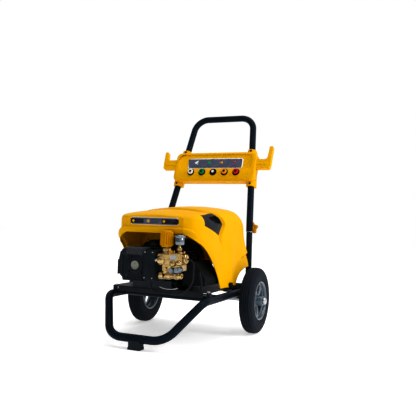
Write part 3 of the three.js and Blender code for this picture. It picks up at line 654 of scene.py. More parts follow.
def weld_bead(middle, radius, axis, size=1.7):
    """A lumpy bead round a joint: a torus whose thickness rises and falls along the ring."""
    turn = np.linspace(0, 2 * np.pi, 96, endpoint=False)
    around = np.linspace(0, 2 * np.pi, 10, endpoint=False)
    lump = size * (1 + 0.18 * np.cos(22 * turn))[:, None]
    reach = radius + lump * np.cos(around)
    offset = lump * np.sin(around)
    flat = [reach * np.cos(turn)[:, None], reach * np.sin(turn)[:, None]]
    order = {"x": (offset, *flat), "y": (flat[0], offset, flat[1]), "z": (*flat, offset)}[axis]
    return grid(np.stack(order, axis=-1) + np.asarray(middle, float), True, True)


def frame_tubes():
    """The foot loop and both rails as one bent tube, with the uprights, cross bars and their welds."""
    rail_x, rail_z, rear = RAIL[0], RAIL[2], JOINT[1] - UPRIGHT_R
    front = box_of("front_foot")
    loop_y, loop_z = (front[0][1] + front[1][1]) / 2, front[1][2] + 4
    half = [(rail_x, rear, rail_z), (rail_x, -385, rail_z), (104, loop_y, loop_z)]
    other = [(-x, y, z) for x, y, z in reversed(half)]
    path = bend(half + other, (60, 75, 75, 60), 22, 6)
    tangent = np.gradient(path, axis=0)
    reference = np.cross(tangent, (0, 0.35, 1.0))
    reference = np.cross(reference, tangent)
    piece("frame_loop_tube",
          tube(path, TUBE_R, reference / np.linalg.norm(reference, axis=1, keepdims=True), 44),
          "frame", "chassis", ["front_loop", "side_rail_left", "side_rail_right"])
    for word, side in SIDES:
        x = side * rail_x
        low = box_of(f"upright_{word}")[0][2]
        post = rod("z", UPRIGHT_R, low, BEND_Z - 2, (x, JOINT[1], 0), 44, 1.5)
        bead = weld_bead((x, rear - 0.6, rail_z), TUBE_R, "y")
        piece(f"upright_tube_{word}", joined(post, bead), "frame", "chassis", [f"upright_{word}"])
    bars = []
    for word in ("front", "rear"):
        low, high = box_of(f"cross_member_{word}")
        middle = (low + high) / 2
        bars.append(rod("x", (high[2] - low[2]) / 2, low[0], high[0], middle, 36, 0.5))
        bars += [weld_bead((side * high[0], middle[1], middle[2]), 10, "x", 1.5) for _, side in SIDES]
    piece("cross_bars", joined(*bars), "frame", "chassis", ["cross_member_front", "cross_member_rear"])
    brackets = []
    for _, side in SIDES:
        x = side * rail_x
        top = rail_z - TUBE_R + 1.5
        outline = [(-40, top), (-14, 108), (14, 108), (90, 128), (90, top)]
        brackets += [prism(outline, x - 3, x + 3, "x"), rod("x", 14, x - 6, x + 6, (x, 0, AXLE_Z), 40, 1)]
    piece("axle_brackets", joined(*brackets), "frame", "chassis", ["axle_bracket_left", "axle_bracket_right"],
          bevel=1.0)
    piece("axle_bar", rod("x", 8, box_of("axle")[0][0], box_of("axle")[1][0], (0, 0, AXLE_Z), 36, 1),
          "steel", "chassis", ["axle"])
    for word, side in SIDES:
        profile = [(274, 8.3), (276, 13), (278, 14), (284, 13.6), (287, 11), (287.8, 6), (288, 0)]
        profile = [(side * along, radius) for along, radius in profile]
        piece(f"axle_end_cap_{word}", turned([(side * 274, 0)] + profile, "x", (0, 0, AXLE_Z), 40),
              "steel", "chassis", [f"axle_cap_{word}"])


def front_pad():
    """A moulded foot: a block whose top is scooped to a circle that hugs the tube."""
    low, high = box_of("front_foot")
    middle, top, grip = (low[1] + high[1]) / 2, high[2], TUBE_R + 0.2
    angle = np.linspace(np.pi + 0.45, 2 * np.pi - 0.45, 15)
    scoop = np.stack([middle + grip * np.cos(angle), top + 4 + grip * np.sin(angle)], axis=-1)
    outline = [(low[1] + 2.5, 0), (high[1] - 2.5, 0), (high[1], 8), (high[1] - 1, top), *scoop[::-1].tolist(),
               (low[1] + 1, top), (low[1], 8)]
    body = prism(outline, low[0] + 2, high[0] - 2, "x")
    ribs = [prism([(low[1] + 0.6, 0.2), (high[1] - 0.6, 0.2), (high[1] + 0.0, 9), (low[1] + 0.0, 9)], x,
                  x + 3, "x")
            for x in np.linspace(low[0], high[0] - 3, 5)]
    piece("foot_pad_moulding", joined(body, *ribs), "rubber", "chassis", ["front_foot"], bevel=1.2)


def base_tray():
    """A folded steel tray: its section is a flat top with rounded folds down to two lips."""
    low, high = box_of("base_plate")
    front, rear, top, thick = low[1], high[1], high[2], 3.0
    quarter = np.linspace(0, np.pi / 2, 6)
    outer = np.vstack([np.stack([front + 5 - 5 * np.sin(quarter[::-1]), top - 5 + 5 * np.cos(quarter[::-1])],
                                -1),
                       np.stack([rear - 5 + 5 * np.sin(quarter), top - 5 + 5 * np.cos(quarter)], -1)])
    outline = [(front, low[2]), *outer.tolist(), (rear, low[2]), (rear - thick, low[2]),
               (rear - thick, top - thick), (front + thick, top - thick), (front + thick, low[2])]
    sheet = prism(outline, -170, 170, "x")
    shelf = block((-192, front + 1.2, top - thick + 0.05), (192, -214, top - 0.05))
    ears = [shelf, block((-192, 8, top - thick + 0.05), (192, 32, top - 0.05))]
    seats = [rod("z", 9, RAIL[2] + TUBE_R - 3, top - thick, (side * RAIL[0], y + 12, 0), 28, 0.4)
             for _, side in SIDES for y in (front, 8)]
    piece("base_tray", joined(sheet, *ears, *seats), "plate", "chassis", ["base_plate"], bevel=1.0)
    bolts = [hexagon("z", 6.5, top - 0.2, top + 3.6, (side * 184, y + 12, 0), 0.3 * side)
             for _, side in SIDES for y in (front, 8)]
    washers = [rod("z", 8.2, top - 0.3, top + 0.9, (side * 184, y + 12, 0), 28, 0.3)
               for _, side in SIDES for y in (front, 8)]
    piece("tray_bolts", joined(*bolts, *washers), "steel", "chassis", bevel=0.5)


# ---- wheels ---------------------------------------------------------------------------------------
def tyre_profile(sizes):
    """The tyre's section: a crowned tread and bulging walls, less round-bottomed grooves, with two
    fine ridges on each wall."""
    x = np.array([0, 7, 13.5, 18.5, 23, 26, 27.3, 26.8, 24.8, 22.0])
    r = np.array([0, -0.2, -1.2, -3.8, -8.5, -15, -26, -39, -48, -53.0]) + WHEEL_R
    run = np.concatenate([[0], np.cumsum(np.hypot(np.diff(x), np.diff(r)))])
    at = np.linspace(0, run[-1], 90)
    x, r = through(run, x, at), through(run, r, at)
    x, r = np.concatenate([-x[:0:-1], x]), np.concatenate([r[:0:-1], r])
    grooves = (np.arange(sizes.tyre_grooves) - (sizes.tyre_grooves - 1) / 2) * 8.6
    cut = np.exp(-((x[:, None] - grooves) / 1.6) ** 4).sum(axis=1) * sizes.groove_depth / MM
    tread = step(r, WHEEL_R - 7, WHEEL_R - 5)
    ridge = np.exp(-((r - WHEEL_R + 20) / 0.9) ** 2) + np.exp(-((r - WHEEL_R + 41) / 1.4) ** 2)
    x = np.where(np.abs(x) > 19, np.sign(x) * np.minimum(np.abs(x) - 0.5 + 0.6 * ridge, 27.5), x)
    inner = [(18.0, WHEEL_R - 53.3), (0.0, WHEEL_R - 53.3), (-18.0, WHEEL_R - 53.3)]
    return np.vstack([np.stack([x, r - cut * tread], axis=-1), inner])


def spoke(angle, side):
    """A spoke: a rounded section that grows along the radius and sinks towards the hub."""
    share = np.linspace(0, 1, 22)
    radius = 17 + 51 * share
    half = 6.3 + 6.2 * share + 7 * np.maximum(0, 1 - share / 0.16) ** 2 + 11 * np.maximum(0,
                                                                                          share - 0.78) / 0.22
    front = 9 + 3.5 * share + 2.5 * np.sin(np.pi * share)
    around = np.linspace(0, 2 * np.pi, 28, endpoint=False)
    power = np.abs(np.cos(around)) ** 0.5 * np.sign(np.cos(around))
    wide = half[:, None] * power
    deep = front[:, None] - 3.5 + 3.5 * np.abs(np.sin(around)) ** 0.6 * np.sign(np.sin(around))
    deep = deep + 1.8 * (1 - power ** 2) * (np.sin(around) > 0)
    reach = radius[:, None] + 0 * wide
    y = reach * math.sin(angle) + wide * math.cos(angle)
    z = reach * math.cos(angle) - wide * math.sin(angle)
    rings = np.stack([side * deep, y, z], axis=-1)
    ends = [np.repeat(ring.mean(axis=0)[None, None], rings.shape[1], axis=1) for ring in (rings[0],
                                                                                          rings[-1])]
    return grid(np.vstack([ends[0], rings, ends[1]]), wrap_columns=True)


def wheels():
    """Grooved tyres on dished rims whose spokes are swept along the radius."""
    sizes = bpy.context.scene.washer_sizes
    profile = tyre_profile(sizes)
    for word, side in SIDES:
        middle = np.array([side * WHEEL_X, 0.0, AXLE_Z])
        body = f"wheel_{word}"
        surface, faces = turned(profile, "x", middle, 168)
        rows = len(profile)
        ring = surface.reshape(rows, -1, 3)
        piece(f"tyre_carcass_{word}", grid(ring, wrap_rows=True, wrap_columns=True), "tyre", body,
              [f"tyre_{word}"])
        half = [(22, 73.6), (23.6, 75.4), (25.2, 74.4), (25, 71), (22, 68), (17, 66.8), (12, 66.2)]
        lip = half + [(-x, r) for x, r in half[::-1]]
        lip = [(side * x, r) for x, r in lip]
        barrel = grid(turned(lip, "x", middle, 96)[0].reshape(len(lip), -1, 3), True, True)
        end = box_of("axle_cap_right")[0][0] - WHEEL_X - 0.4
        hub_line = [(end, 8.3), (end, 16), (end - 1.5, 18), (end - 4, 19), (14, 19.5), (9, 22), (6.5, 27),
                    (3, 27), (1, 20), (-38, 19), (-42, 17), (-42, 8.3)]
        hub_line = [(side * x, r) for x, r in hub_line]
        hub = grid(turned(hub_line, "x", middle, 60)[0].reshape(len(hub_line), -1, 3), True, True)
        arms = [moved(spoke(math.pi / sizes.spokes * (2 * i + 1), side),
                      *middle) for i in range(sizes.spokes)]
        seat = [(15.5, 67.4), (14.5, 62), (11, 60.5), (7.5, 61.5), (6, 67.4)]
        seat = [(side * x, r) for x, r in seat]
        ring = grid(turned(seat, "x", middle, 96)[0].reshape(len(seat), -1, 3), True, True)
        piece(f"rim_dish_{word}", joined(barrel, hub, ring, *arms), "rim", body, [f"rim_{word}"])


# ---- handle ---------------------------------------------------------------------------------------
def handle_bow():
    """The push handle: one tube bent into a bow, bored at both feet so that it slips over the uprights."""
    top = on_handle([(GRIP_HALF, 0, GRIP_RISE)])[0]
    half = [(RAIL[0], JOINT[1], SLEEVE_Z), (RAIL[0], JOINT[1], BEND_Z), tuple(top)]
    other = [(-x, y, z) for x, y, z in reversed(half)]
    path = bend(half + other, (30, GRIP_CORNER, GRIP_CORNER, 30), 26, 8)
    lean_normal = (0, -math.cos(LEAN), math.sin(LEAN))
    radius = TUBE_R - 0.25
    outer = tube_rings(path, radius, lean_normal, 44)
    bore = UPRIGHT_R + 0.5
    depth = np.linspace(0, BEND_Z - 1 - SLEEVE_Z, 4)
    parts = []
    for x, ring in ((RAIL[0], outer[0]), (-RAIL[0], outer[-1])):
        middle = np.array([x, JOINT[1], SLEEVE_Z])
        inner = middle + (ring - middle) * bore / radius
        rings = inner[None] + np.array([0, 0, 1.0]) * depth[:, None, None]
        closed = np.broadcast_to(middle + np.array([0, 0, depth[-1]]), rings[:1].shape)
        parts.append(np.vstack([rings, closed]))
    rings = np.vstack([parts[0][::-1], outer, parts[1]])
    piece("handle_bow_tube", grid(rings, wrap_columns=True), "frame", "handle", ["handle_tube"])
    # Bare steel rings round the tube's cut feet: the cut ends, and a painted highlight standing in for the glint
    # along their rim.
    ends = []
    for _, side in SIDES:
        ring = [(SLEEVE_Z, bore), (SLEEVE_Z, TUBE_R + 0.25), (SLEEVE_Z + 1.6, TUBE_R + 0.25),
                (SLEEVE_Z + 1.6, bore)]
        points = turned(ring, "z", (side * RAIL[0], JOINT[1], 0), 44)[0].reshape(4, -1, 3)
        ends.append(grid(points, True, True))
    piece("handle_cut_ends", joined(*ends), "steel", "handle")


def joint_knobs():
    """Five-lobed hand knobs: the radius swells with the cosine of five times the angle."""
    for word, side in SIDES:
        low, high = box_of(f"joint_knob_{word}")
        middle = (low + high) / 2
        rear = JOINT[1] + TUBE_R
        profile = [(rear + 8, 0), (rear + 8, 16), (rear + 9, 20.5), (rear + 11, 22), (rear + 20, 22),
                   (rear + 22.5, 20.5), (rear + 24, 17), (rear + 24, 8), (rear + 22.5, 6), (rear + 22.5, 0)]

        def lobes(angle, along):
            """Five lobes: the radius swells with the cosine of five times the turn."""
            return 1 + 0.16 * np.cos(5 * angle)

        grip = turned(profile, "y", (middle[0], 0, middle[2]), 120, lobes)
        collar = rod("y", 9, rear + 1, rear + 9, (middle[0], 0, middle[2]), 36, 0.8)
        piece(f"joint_knob_grip_{word}", joined(grip, collar), "yellow_knob", f"joint_knob_{word}",
              [f"joint_knob_{word}"])
        stud = rod("y", 4, low[1], rear + 5, (middle[0], 0, middle[2]), 24, 0.5)
        piece(f"joint_stud_{word}", stud, "steel", f"joint_knob_{word}")


PANEL_MID, PANEL_HALF, PANEL_TALL, PANEL_FRONT, PANEL_BACK = 249.0, 188.0, 68.0, -32.0, 6.0
FIELD_UP, NOZZLE_UP, NOZZLE_PITCH = 272.0, 222.0, 52.5


def outline_rings(rows, count=240):
    """Rounded rectangles stacked into a surface; each row gives half width, half height, corner
    radius, middle height, and how far out it lies."""
    rings = []
    for half, tall, radius, up, out in rows:
        loop = round_corners(half, tall, min(radius, tall - 0.01, half - 0.01), count)
        rings.append(np.stack([loop[:, 0], np.full(count, out), loop[:, 1] + up], axis=-1))
    return grid(np.stack(rings), wrap_columns=True)


def nozzle_panel():
    """The panel's shell: rounded rectangles carried round its rim, over the face and into the field."""
    rows = [(PANEL_HALF - 3, PANEL_TALL - 3, 21, PANEL_MID, PANEL_BACK),
            (PANEL_HALF - 3, PANEL_TALL - 3, 21, PANEL_MID, PANEL_BACK - 0.01),
            (PANEL_HALF, PANEL_TALL, 24, PANEL_MID, PANEL_BACK), (PANEL_HALF, PANEL_TALL, 24, PANEL_MID, -25)]
    for angle in np.linspace(0.25, 1.5, 5):
        inset = 7 * (1 - math.cos(angle))
        rows.append((PANEL_HALF - inset, PANEL_TALL - inset, 24 - inset, PANEL_MID,
                     -25 - 7 * math.sin(angle)))
    rows += [(176, 50, 16, 255, PANEL_FRONT), (168.6, 35.6, 19.6, FIELD_UP, PANEL_FRONT),
             (167.6, 34.6, 18.6, FIELD_UP, PANEL_FRONT + 0.5), (167, 34, 18, FIELD_UP, PANEL_FRONT + 2.4),
             (166, 33, 17, FIELD_UP, PANEL_FRONT + 3), (120, 20, 10, FIELD_UP, PANEL_FRONT + 3),
             (60, 5, 4, FIELD_UP, PANEL_FRONT + 3), (0.02, 0.02, 0.01, FIELD_UP, PANEL_FRONT + 3)]
    inside = [(PANEL_HALF - 3, PANEL_TALL - 3, 21, PANEL_MID, PANEL_BACK),
              (PANEL_HALF - 3.5, PANEL_TALL - 3.5, 21, PANEL_MID, -22),
              (PANEL_HALF - 8, PANEL_TALL - 8, 16, PANEL_MID, -26),
              (60, 20, 10, FIELD_UP, -26), (0.02, 0.02, 0.01, FIELD_UP, -26)]
    shell = joined(outline_rings(rows), outline_rings(inside))
    piece("nozzle_panel_shell", leant(shell), "yellow_plastic", "handle", ["nozzle_panel"])
    saddles, screws, recesses = [], [], []
    for _, side in SIDES:
        for end in (-1, 1):
            up = PANEL_MID + end * 71
            x = side * tube_reach(up)
            angle = np.linspace(0, np.pi, 25)
            arch = np.stack([x + 19 * np.cos(angle), -22 * np.sin(angle) ** 0.75], axis=-1)
            outline = [(x + 19, PANEL_BACK), *arch.tolist(), (x - 19, PANEL_BACK)]
            lower, upper = up - 14, up + 14
            saddles.append(prism(outline, lower, upper, "z"))
            place = (side * tube_reach(PANEL_MID + end * 76), 0, PANEL_MID + end * 76)
            screws.append(turned([(-22.2, 0), (-22.6, 3.4), (-21.8, 4.8), (-20.5, 5.2), (-18, 5.2)], "y",
                                 place, 28))
            recesses.append(turned([(-21.4, 7.4), (-22.9, 7.2), (-22.9, 6.3), (-21.4, 6.1)], "y", place, 28))
    piece("panel_ears", leant(joined(*saddles)), "yellow_plastic", "handle", bevel=2.2, segments=3)
    piece("panel_screws", leant(joined(*screws)), "black_plastic", "handle")
    piece("panel_screw_rings", leant(joined(*recesses)), "yellow_plastic", "handle")
    for word, side in SIDES:
        low, high = PANEL_MID - 83, PANEL_MID + 83
        outline = [(tube_reach(low) - 19, low), (tube_reach(low) + 19, low), (tube_reach(high) + 19, high),
                   (tube_reach(high) - 19, high)]
        outline = [(side * x, up) for x, up in outline]
        plates = prism(outline, PANEL_BACK + 0.3, 19, "y")
        ribs = [prism([(side * (tube_reach(up) - 17), up), (side * (tube_reach(up) + 17), up),
                       (side * (tube_reach(up) + 17), up + 4), (side * (tube_reach(up) - 17), up + 4)], 18,
                       21.5, "y")
                for up in np.linspace(low + 14, high - 18, 6)]
        piece(f"panel_clamp_back_{word}", leant(joined(plates, *ribs)), "yellow_plastic", "handle",
              [f"panel_clamp_{word}"], bevel=2.0)


def hooks():
    """Side hooks: an arm with a turned-up prong, cut from a thick plate with rounded edges."""
    for word, side in SIDES:
        tip = 344 if side > 0 else 325
        outline = [(184, 240), (243, 240), (248, 244), (250.5, 262), (252, tip - 3), (249, tip), (240, tip),
                   (237, tip - 3), (233.5, 293), (228, 285), (218, 283.5), (184, 284)]
        body = prism([(side * x, up) for x, up in outline], -26, -6, "y")
        rib = prism([(side * x, up) for x, up in ((186, 258), (236, 256), (238, 266), (186, 268))], -27.6,
                    -25, "y")
        piece(f"hook_moulding_{word}", leant(joined(body, rib)), "yellow_plastic", "handle", [f"hook_{word}"],
              bevel=2.2, segments=3)


def rounded_plate(half, tall, radius, x, up, low, high, count=72):
    """A flat plate whose outline is a rounded rectangle about (x, up), pushed from low to high."""
    loop = round_corners(half, tall, radius, count) + np.array([x, up])
    return prism(loop, low, high, "y")


def nozzle_label():
    """A thin film with a pale edge and plain coloured marks, one above each nozzle."""
    floor = PANEL_FRONT + 3
    sheet = rounded_plate(127, 24, 7, 2, 263, floor - 0.9, floor)
    piece("label_edge", leant(sheet), "dial", "handle")
    slant = [(-118, 241.5), (124, 241.5), (126, 246), (126, 280), (124, 284.5), (-125, 284.5), (-127, 280),
             (-124, 262)]
    piece("nozzle_label_film", leant(prism(slant, floor - 1.25, floor - 0.7, "y")), "label", "handle",
          ["nozzle_label"], bevel=0.2)
    strip = prism([(-112, 245.5), (121, 245.5), (121, 247.2), (-112, 247.2)], floor - 1.45, floor - 1.1, "y")
    bars = [prism([(x - 9, 250.5), (x + 9, 250.5), (x + 9, 252.2), (x - 9, 252.2)], floor - 1.45, floor - 1.1,
                  "y")
            for x in (-78, -22, 36, 96)]
    piece("label_lines", leant(joined(strip, *bars)), "grey_plastic", "handle")
    for (word, spread), x in zip((("white", 11), ("green", 8), ("yellow", 5), ("red", 3)),
                                 (-86, -28, 30, 90)):
        fan = [prism([(x - 9, 266), (x - 9, 268.5), (x + 8, 269 + k * spread * 0.75),
                      (x + 8, 265.5 + k * spread * 0.75)], floor - 1.5, floor - 1.1, "y") for k in (-1, 0, 1)]
        piece(f"label_mark_{word}", leant(joined(*fan)), f"nozzle_{word}", "handle")


def nozzles():
    """Spray nozzles: a fluted coloured collar on a stem, round a metal tip with a deep bore."""
    for index, word in enumerate(NOZZLES):
        x = (index - 2) * NOZZLE_PITCH
        small = 0.78 if word == "black" else 1.0
        front = PANEL_FRONT - (6 if word == "black" else 10)
        profile = [(front + 2, 5.4), (front + 0.3, 5.8), (front, 6.4), (front, 9.3 * small + 0.5),
                   (front + 1.2, 11.2 * small), (PANEL_FRONT - 2.2, 11.5 * small),
                   (PANEL_FRONT - 1, 10.6 * small),
                   (PANEL_FRONT - 1, 8), (PANEL_FRONT + 20, 8), (PANEL_FRONT + 22, 6.5),
                   (PANEL_FRONT + 22, 0)]

        def flutes(angle, along, front=front):
            """Shallow grooves: the radius dips with the cosine of the turn inside one band."""
            band = step(along,
                        front + 0.8, front + 2) * (1 - step(along, PANEL_FRONT - 2.6, PANEL_FRONT - 1.4))
            return 1 - 0.035 * band * (0.5 + 0.5 * np.cos(20 * angle))

        body = f"nozzle_{word}"
        collar = turned(profile, "y", (x, 0, NOZZLE_UP), 120, flutes)
        piece(f"nozzle_collar_{word}", leant(collar), body, body, [body])
        tip = [(front + 1.5, 5.6), (front - 1.2, 5.2), (front - 1.8, 4.2), (front - 1.8, 2.3),
               (front + 4, 2.0), (front + 4, 0)]
        piece(f"nozzle_tip_{word}", leant(turned(tip, "y", (x, 0, NOZZLE_UP), 48)),
              "dial" if word == "black" else "cast_black", body)
        # A black socket ring and well sit 1.5 mm low behind each nozzle: the socket in the panel, and below the
        # collar a painted shadow.
        ring = [(PANEL_FRONT + 0.6, 12.4), (PANEL_FRONT - 0.9, 12.9), (PANEL_FRONT - 1.1, 14.4),
                (PANEL_FRONT - 0.1, 16.4), (PANEL_FRONT + 0.8, 16.6)]
        socket = turned(ring, "y", (x, 0, NOZZLE_UP - 1.5), 72)
        well = turned([(PANEL_FRONT - 0.25, 0), (PANEL_FRONT - 0.25, 12.6), (PANEL_FRONT + 0.6, 12.8)], "y",
                      (x, 0, NOZZLE_UP - 1.5), 48)
        piece(f"nozzle_socket_{word}", leant(joined(socket, well)), "black_plastic", "handle")


# ---- hood -----------------------------------------------------------------------------------------
# Sections from front to rear: y, half width at the shoulder, half width at the foot, top, shoulder radius.
HOOD_SECTIONS = np.array([
    (-406, 110, 110, 448, 6), (-400, 124, 125, 451, 9), (-388, 142, 144, 455, 14), (-365, 157, 160, 460, 24),
    (-330, 164, 168, 466, 38), (-270, 170, 174, 473, 52), (-200, 173, 179, 480, 57),
    (-130, 175, 183, 485, 58),
    (-70, 176, 188, 488, 58), (-20, 176, 197, 488, 58), (20, 175, 202, 481, 58), (44, 172, 203, 470, 57),
    (58, 168, 203, 455, 55)])
FRONT_ARCH = np.array([(-406, 386), (-388, 368), (-335, 333), (-266, 268), (-222, 205), (-210, 170)])
WHEEL_ARCH = np.array([(-66, 170), (-56, 200), (-30, 232), (10, 248), (70, 254)])
VENT = np.array([(-338, 452), (-212, 461), (-184, 444), (-172, 419), (-213, 379), (-338, 414)])
FRONT_LIP, HOOD_FOOT = 386.0, 186.6
STEP_LINE = np.array([(-238, 500), (-226, 470), (-206, 463), (-180, 446), (-166, 419), (-208, 370),
                      (-196, 345), (-186, 315)])
FLARE_LINE = np.array([(-120, 180), (-112, 212), (-98, 238), (-66, 272), (-25, 294), (30, 307), (70, 311)])


def smooth_line(points, count=160):
    """A smooth curve through points, parameterised by their running length."""
    run = np.concatenate([[0], np.cumsum(np.linalg.norm(np.diff(points, axis=0), axis=1))])
    at = np.linspace(0, run[-1], count)
    return np.stack([through(run, points[:, axis], at) for axis in range(points.shape[1])], axis=-1)


def section_at(y):
    """Shoulder half width, foot half width, top and shoulder radius of the hood at each y."""
    run = np.concatenate([[0],
                          np.cumsum(np.hypot(np.diff(HOOD_SECTIONS[:, 0]), np.diff(HOOD_SECTIONS[:, 1])))])
    dense = np.linspace(0, run[-1], 900)
    table = np.stack([through(run, HOOD_SECTIONS[:, k], dense) for k in range(5)], axis=-1)
    return [np.interp(y, table[:, 0], table[:, k]) for k in (1, 2, 3, 4)]


def hood_side(y, z):
    """Half width of the hood at a length y and height z: eased from foot to shoulder, then round."""
    wide, foot, top, radius = section_at(y)
    level = top - 10 * wide / 175 - radius
    straight = foot + (wide - foot) * step(np.clip((z - 230) / (level - 230), 0, 1), 0, 1)
    over = np.clip((z - level) / radius, 0, 1)
    return np.where(z < level, straight, wide - radius * (1 - np.sqrt(1 - over ** 2)))


def arch_height(y):
    """Lowest point of the hood's side at each y: the front arch, the foot, then the wheel arch."""
    front, rear = smooth_line(FRONT_ARCH), smooth_line(WHEEL_ARCH)
    low = np.full_like(y, HOOD_FOOT)
    low = np.where(y < front[-1, 0], np.interp(y, front[:, 0], front[:, 1]), low)
    return np.maximum(np.where(y > rear[0, 0], np.interp(y, rear[:, 0], rear[:, 1]), low), HOOD_FOOT)


def distance_to(points, line):
    """Distance of each 2-D point from a polyline, over all of its pieces at once."""
    start, end = line[:-1], line[1:]
    run = end - start
    offset = points[:, None] - start[None]
    share = np.clip((offset * run).sum(-1) / (run * run).sum(-1), 0, 1)
    return np.linalg.norm(offset - share[..., None] * run, axis=-1).min(axis=1)


def inside(points, outline):
    """Whether each 2-D point is in an outline, by counting the edges that a level line crosses."""
    a, b = outline, np.roll(outline, -1, axis=0)
    y, z = points[:, 0, None], points[:, 1, None]
    spans = (a[:, 1] > z) != (b[:, 1] > z)
    rise = np.where(b[:, 1] == a[:, 1], 1, b[:, 1] - a[:, 1])
    crossing = a[:, 0] + (z - a[:, 1]) * (b[:, 0] - a[:, 0]) / rise
    return (spans & (y < crossing)).sum(axis=1) % 2 == 1


def flange(distance, fade=1.0):
    """The lip along the front arch: it stands out up to a crisp ridge, then eases into the shell."""
    return fade * (9.5 * (1 - step(distance, 16, 21)) - 6.0 * (1 - step(distance, 0, 16)))


def hood_relief(y, z):
    """How far the moulded shapes stand out at a side's (y, z): the flange along the front arch, the
    pocket ahead of the raised rear body, the ridge down the leg and the fall to the wheel arch."""
    flat = np.stack([y.ravel(), z.ravel()], axis=-1)
    from_front = distance_to(flat, smooth_line(FRONT_ARCH, 60))
    lip = flange(from_front, 0.25 + 0.75 * step(flat[:, 1], 215, 330))
    rear_body = np.vstack([STEP_LINE, [(-150, 290), (90, 290), (90, 520), (-238, 520)]])
    from_step = distance_to(flat, STEP_LINE) * np.where(inside(flat, rear_body), 1, -1)
    strength = 4.5 + 8.0 * np.exp(-((flat[:, 0] + 185) / 60) ** 2) * step(flat[:, 1], 340, 400)
    pocket = -strength * (1 - step(from_step, -2, 3)) * np.exp(np.minimum(from_step, 0) / 42) * step(flat[:,
                                                                                                          1],
                                                                                                          310,
                                                                                                          372)
    ridge_y = -132 + 0.07 * (flat[:, 1] - 190)
    ridge = 9.5 * np.exp(-np.abs((flat[:, 0] - ridge_y) / 30) ** 1.15) * (1 - step(flat[:, 1], 330, 420))
    flare = np.vstack([FLARE_LINE, [(90, 100), (-120, 100)]])
    from_flare = distance_to(flat, FLARE_LINE) * inside(flat, flare)
    fall = -7.5 * step(from_flare, 0, 11) + 1.2 * np.exp(-(distance_to(flat, FLARE_LINE) / 5) ** 2)
    return (lip + pocket + ridge + fall).reshape(y.shape)


def hood_surface():
    """The hood as one sheet: rows run from the front to the rear along the table of sections, each
    from one side's lower edge over the shoulders and crown to the other's, then down the front."""
    run = np.concatenate([[0],
                          np.cumsum(np.hypot(np.diff(HOOD_SECTIONS[:, 0]), np.diff(HOOD_SECTIONS[:, 1])))])
    at = np.unique(np.concatenate([np.linspace(0, 75, 30), np.linspace(75, 118, 18),
                                   np.linspace(118, 310, 96),
                                   np.linspace(310, run[-1], 52)]))
    y = through(run, HOOD_SECTIONS[:, 0], at)
    wide, foot, top, radius = section_at(y)
    low = arch_height(y)
    low[0] = FRONT_LIP
    level = np.maximum(top - 10 * wide / 175 - radius, low + 2)
    share = np.linspace(0, 1, 84)
    z_side = low[:, None] + (level - low)[:, None] * share
    x_side = hood_side(np.broadcast_to(y[:, None], z_side.shape), z_side)
    angle = np.linspace(0, 1.35, 18)[1:]
    x_round = wide[:, None] - radius[:, None] * (1 - np.cos(angle))
    z_round = level[:, None] + radius[:, None] * np.sin(angle)
    reach = np.linspace(1, 0, 21)[1:]
    x_top = x_round[:, -1:] * reach
    z_top = top[:, None] - (top[:, None] - z_round[:, -1:]) * reach ** 2
    x, z = np.hstack([x_side, x_round, x_top]), np.hstack([z_side, z_round, z_top])
    y_half = np.broadcast_to(y[:, None], x.shape)
    relief = hood_relief(y_half, z)
    away = np.stack([np.gradient(y), -np.gradient(wide)], axis=-1)
    away /= np.linalg.norm(away, axis=1, keepdims=True)
    outward = np.concatenate([np.ones(84), np.cos(np.linspace(0, 1.5, 17)), np.zeros(20)])
    upward = 1 - outward
    upward[:84] = 0
    right = np.stack([x + relief * outward * away[:, :1], y_half + relief * outward * away[:, 1:],
                      z + relief * upward], axis=-1)
    left = right[:, ::-1][:, 1:] * np.array([-1, 1, 1])
    sheet = np.hstack([right, left])
    corner = np.array([x[0, 83], z[0, 83]])
    edge_x = np.concatenate([x[0, 83:], -x[0, ::-1][1:-83]])
    edge_z = np.concatenate([z[0, 83:], z[0, ::-1][1:-83]])
    fall = share[::-1][:, None]
    face_z = FRONT_LIP + (edge_z - FRONT_LIP) * fall
    face_x = np.broadcast_to(edge_x, face_z.shape)
    stand = flange(face_z - FRONT_LIP)
    lean = np.sign(face_x) * np.abs(face_x / corner[0]) ** 8 * away[0, 0]
    ahead = -np.sqrt(1 - lean ** 2)
    face = np.stack([face_x + stand * lean, HOOD_FRONT + stand * ahead, face_z], axis=-1)
    return sheet, face


def hood_shell():
    """The hood's sheet and front, opened under the vents, with a rear wall, given a wall inwards."""
    sheet, face = hood_surface()
    sheet = sheet[::-1]
    points, faces = grid(sheet)
    middle = points[faces[0]].mean(axis=1)
    hole = VENT.mean(axis=0) + (VENT - VENT.mean(axis=0)) * 0.9
    open_faces = inside(middle[:, 1:], hole) & (np.abs(middle[:, 0]) > 90)
    shell = joined((points, [faces[0][~open_faces]]), grid(face))
    piece("hood_shell", shell, "yellow_plastic", "chassis", ["hood"],
          wall=bpy.context.scene.washer_sizes.hood_wall / MM, weld=2e-5)
    ring = sheet[0]
    low = ring[0][2]
    share = np.linspace(0, 1, 30)[:, None]
    z = ring[:, 2] + (low - ring[:, 2]) * share
    inset = np.broadcast_to(ring[:, 0] * 0.996, z.shape)
    wall = np.stack([inset, np.full_like(z, HOOD_REAR - 0.2), z], axis=-1)
    inner = wall * np.array([0.99, 1, 1]) - np.array([0, 3.0, 0])
    piece("hood_rear_wall", joined(grid(wall), grid(inner)), "yellow_plastic", "chassis", weld=2e-5)


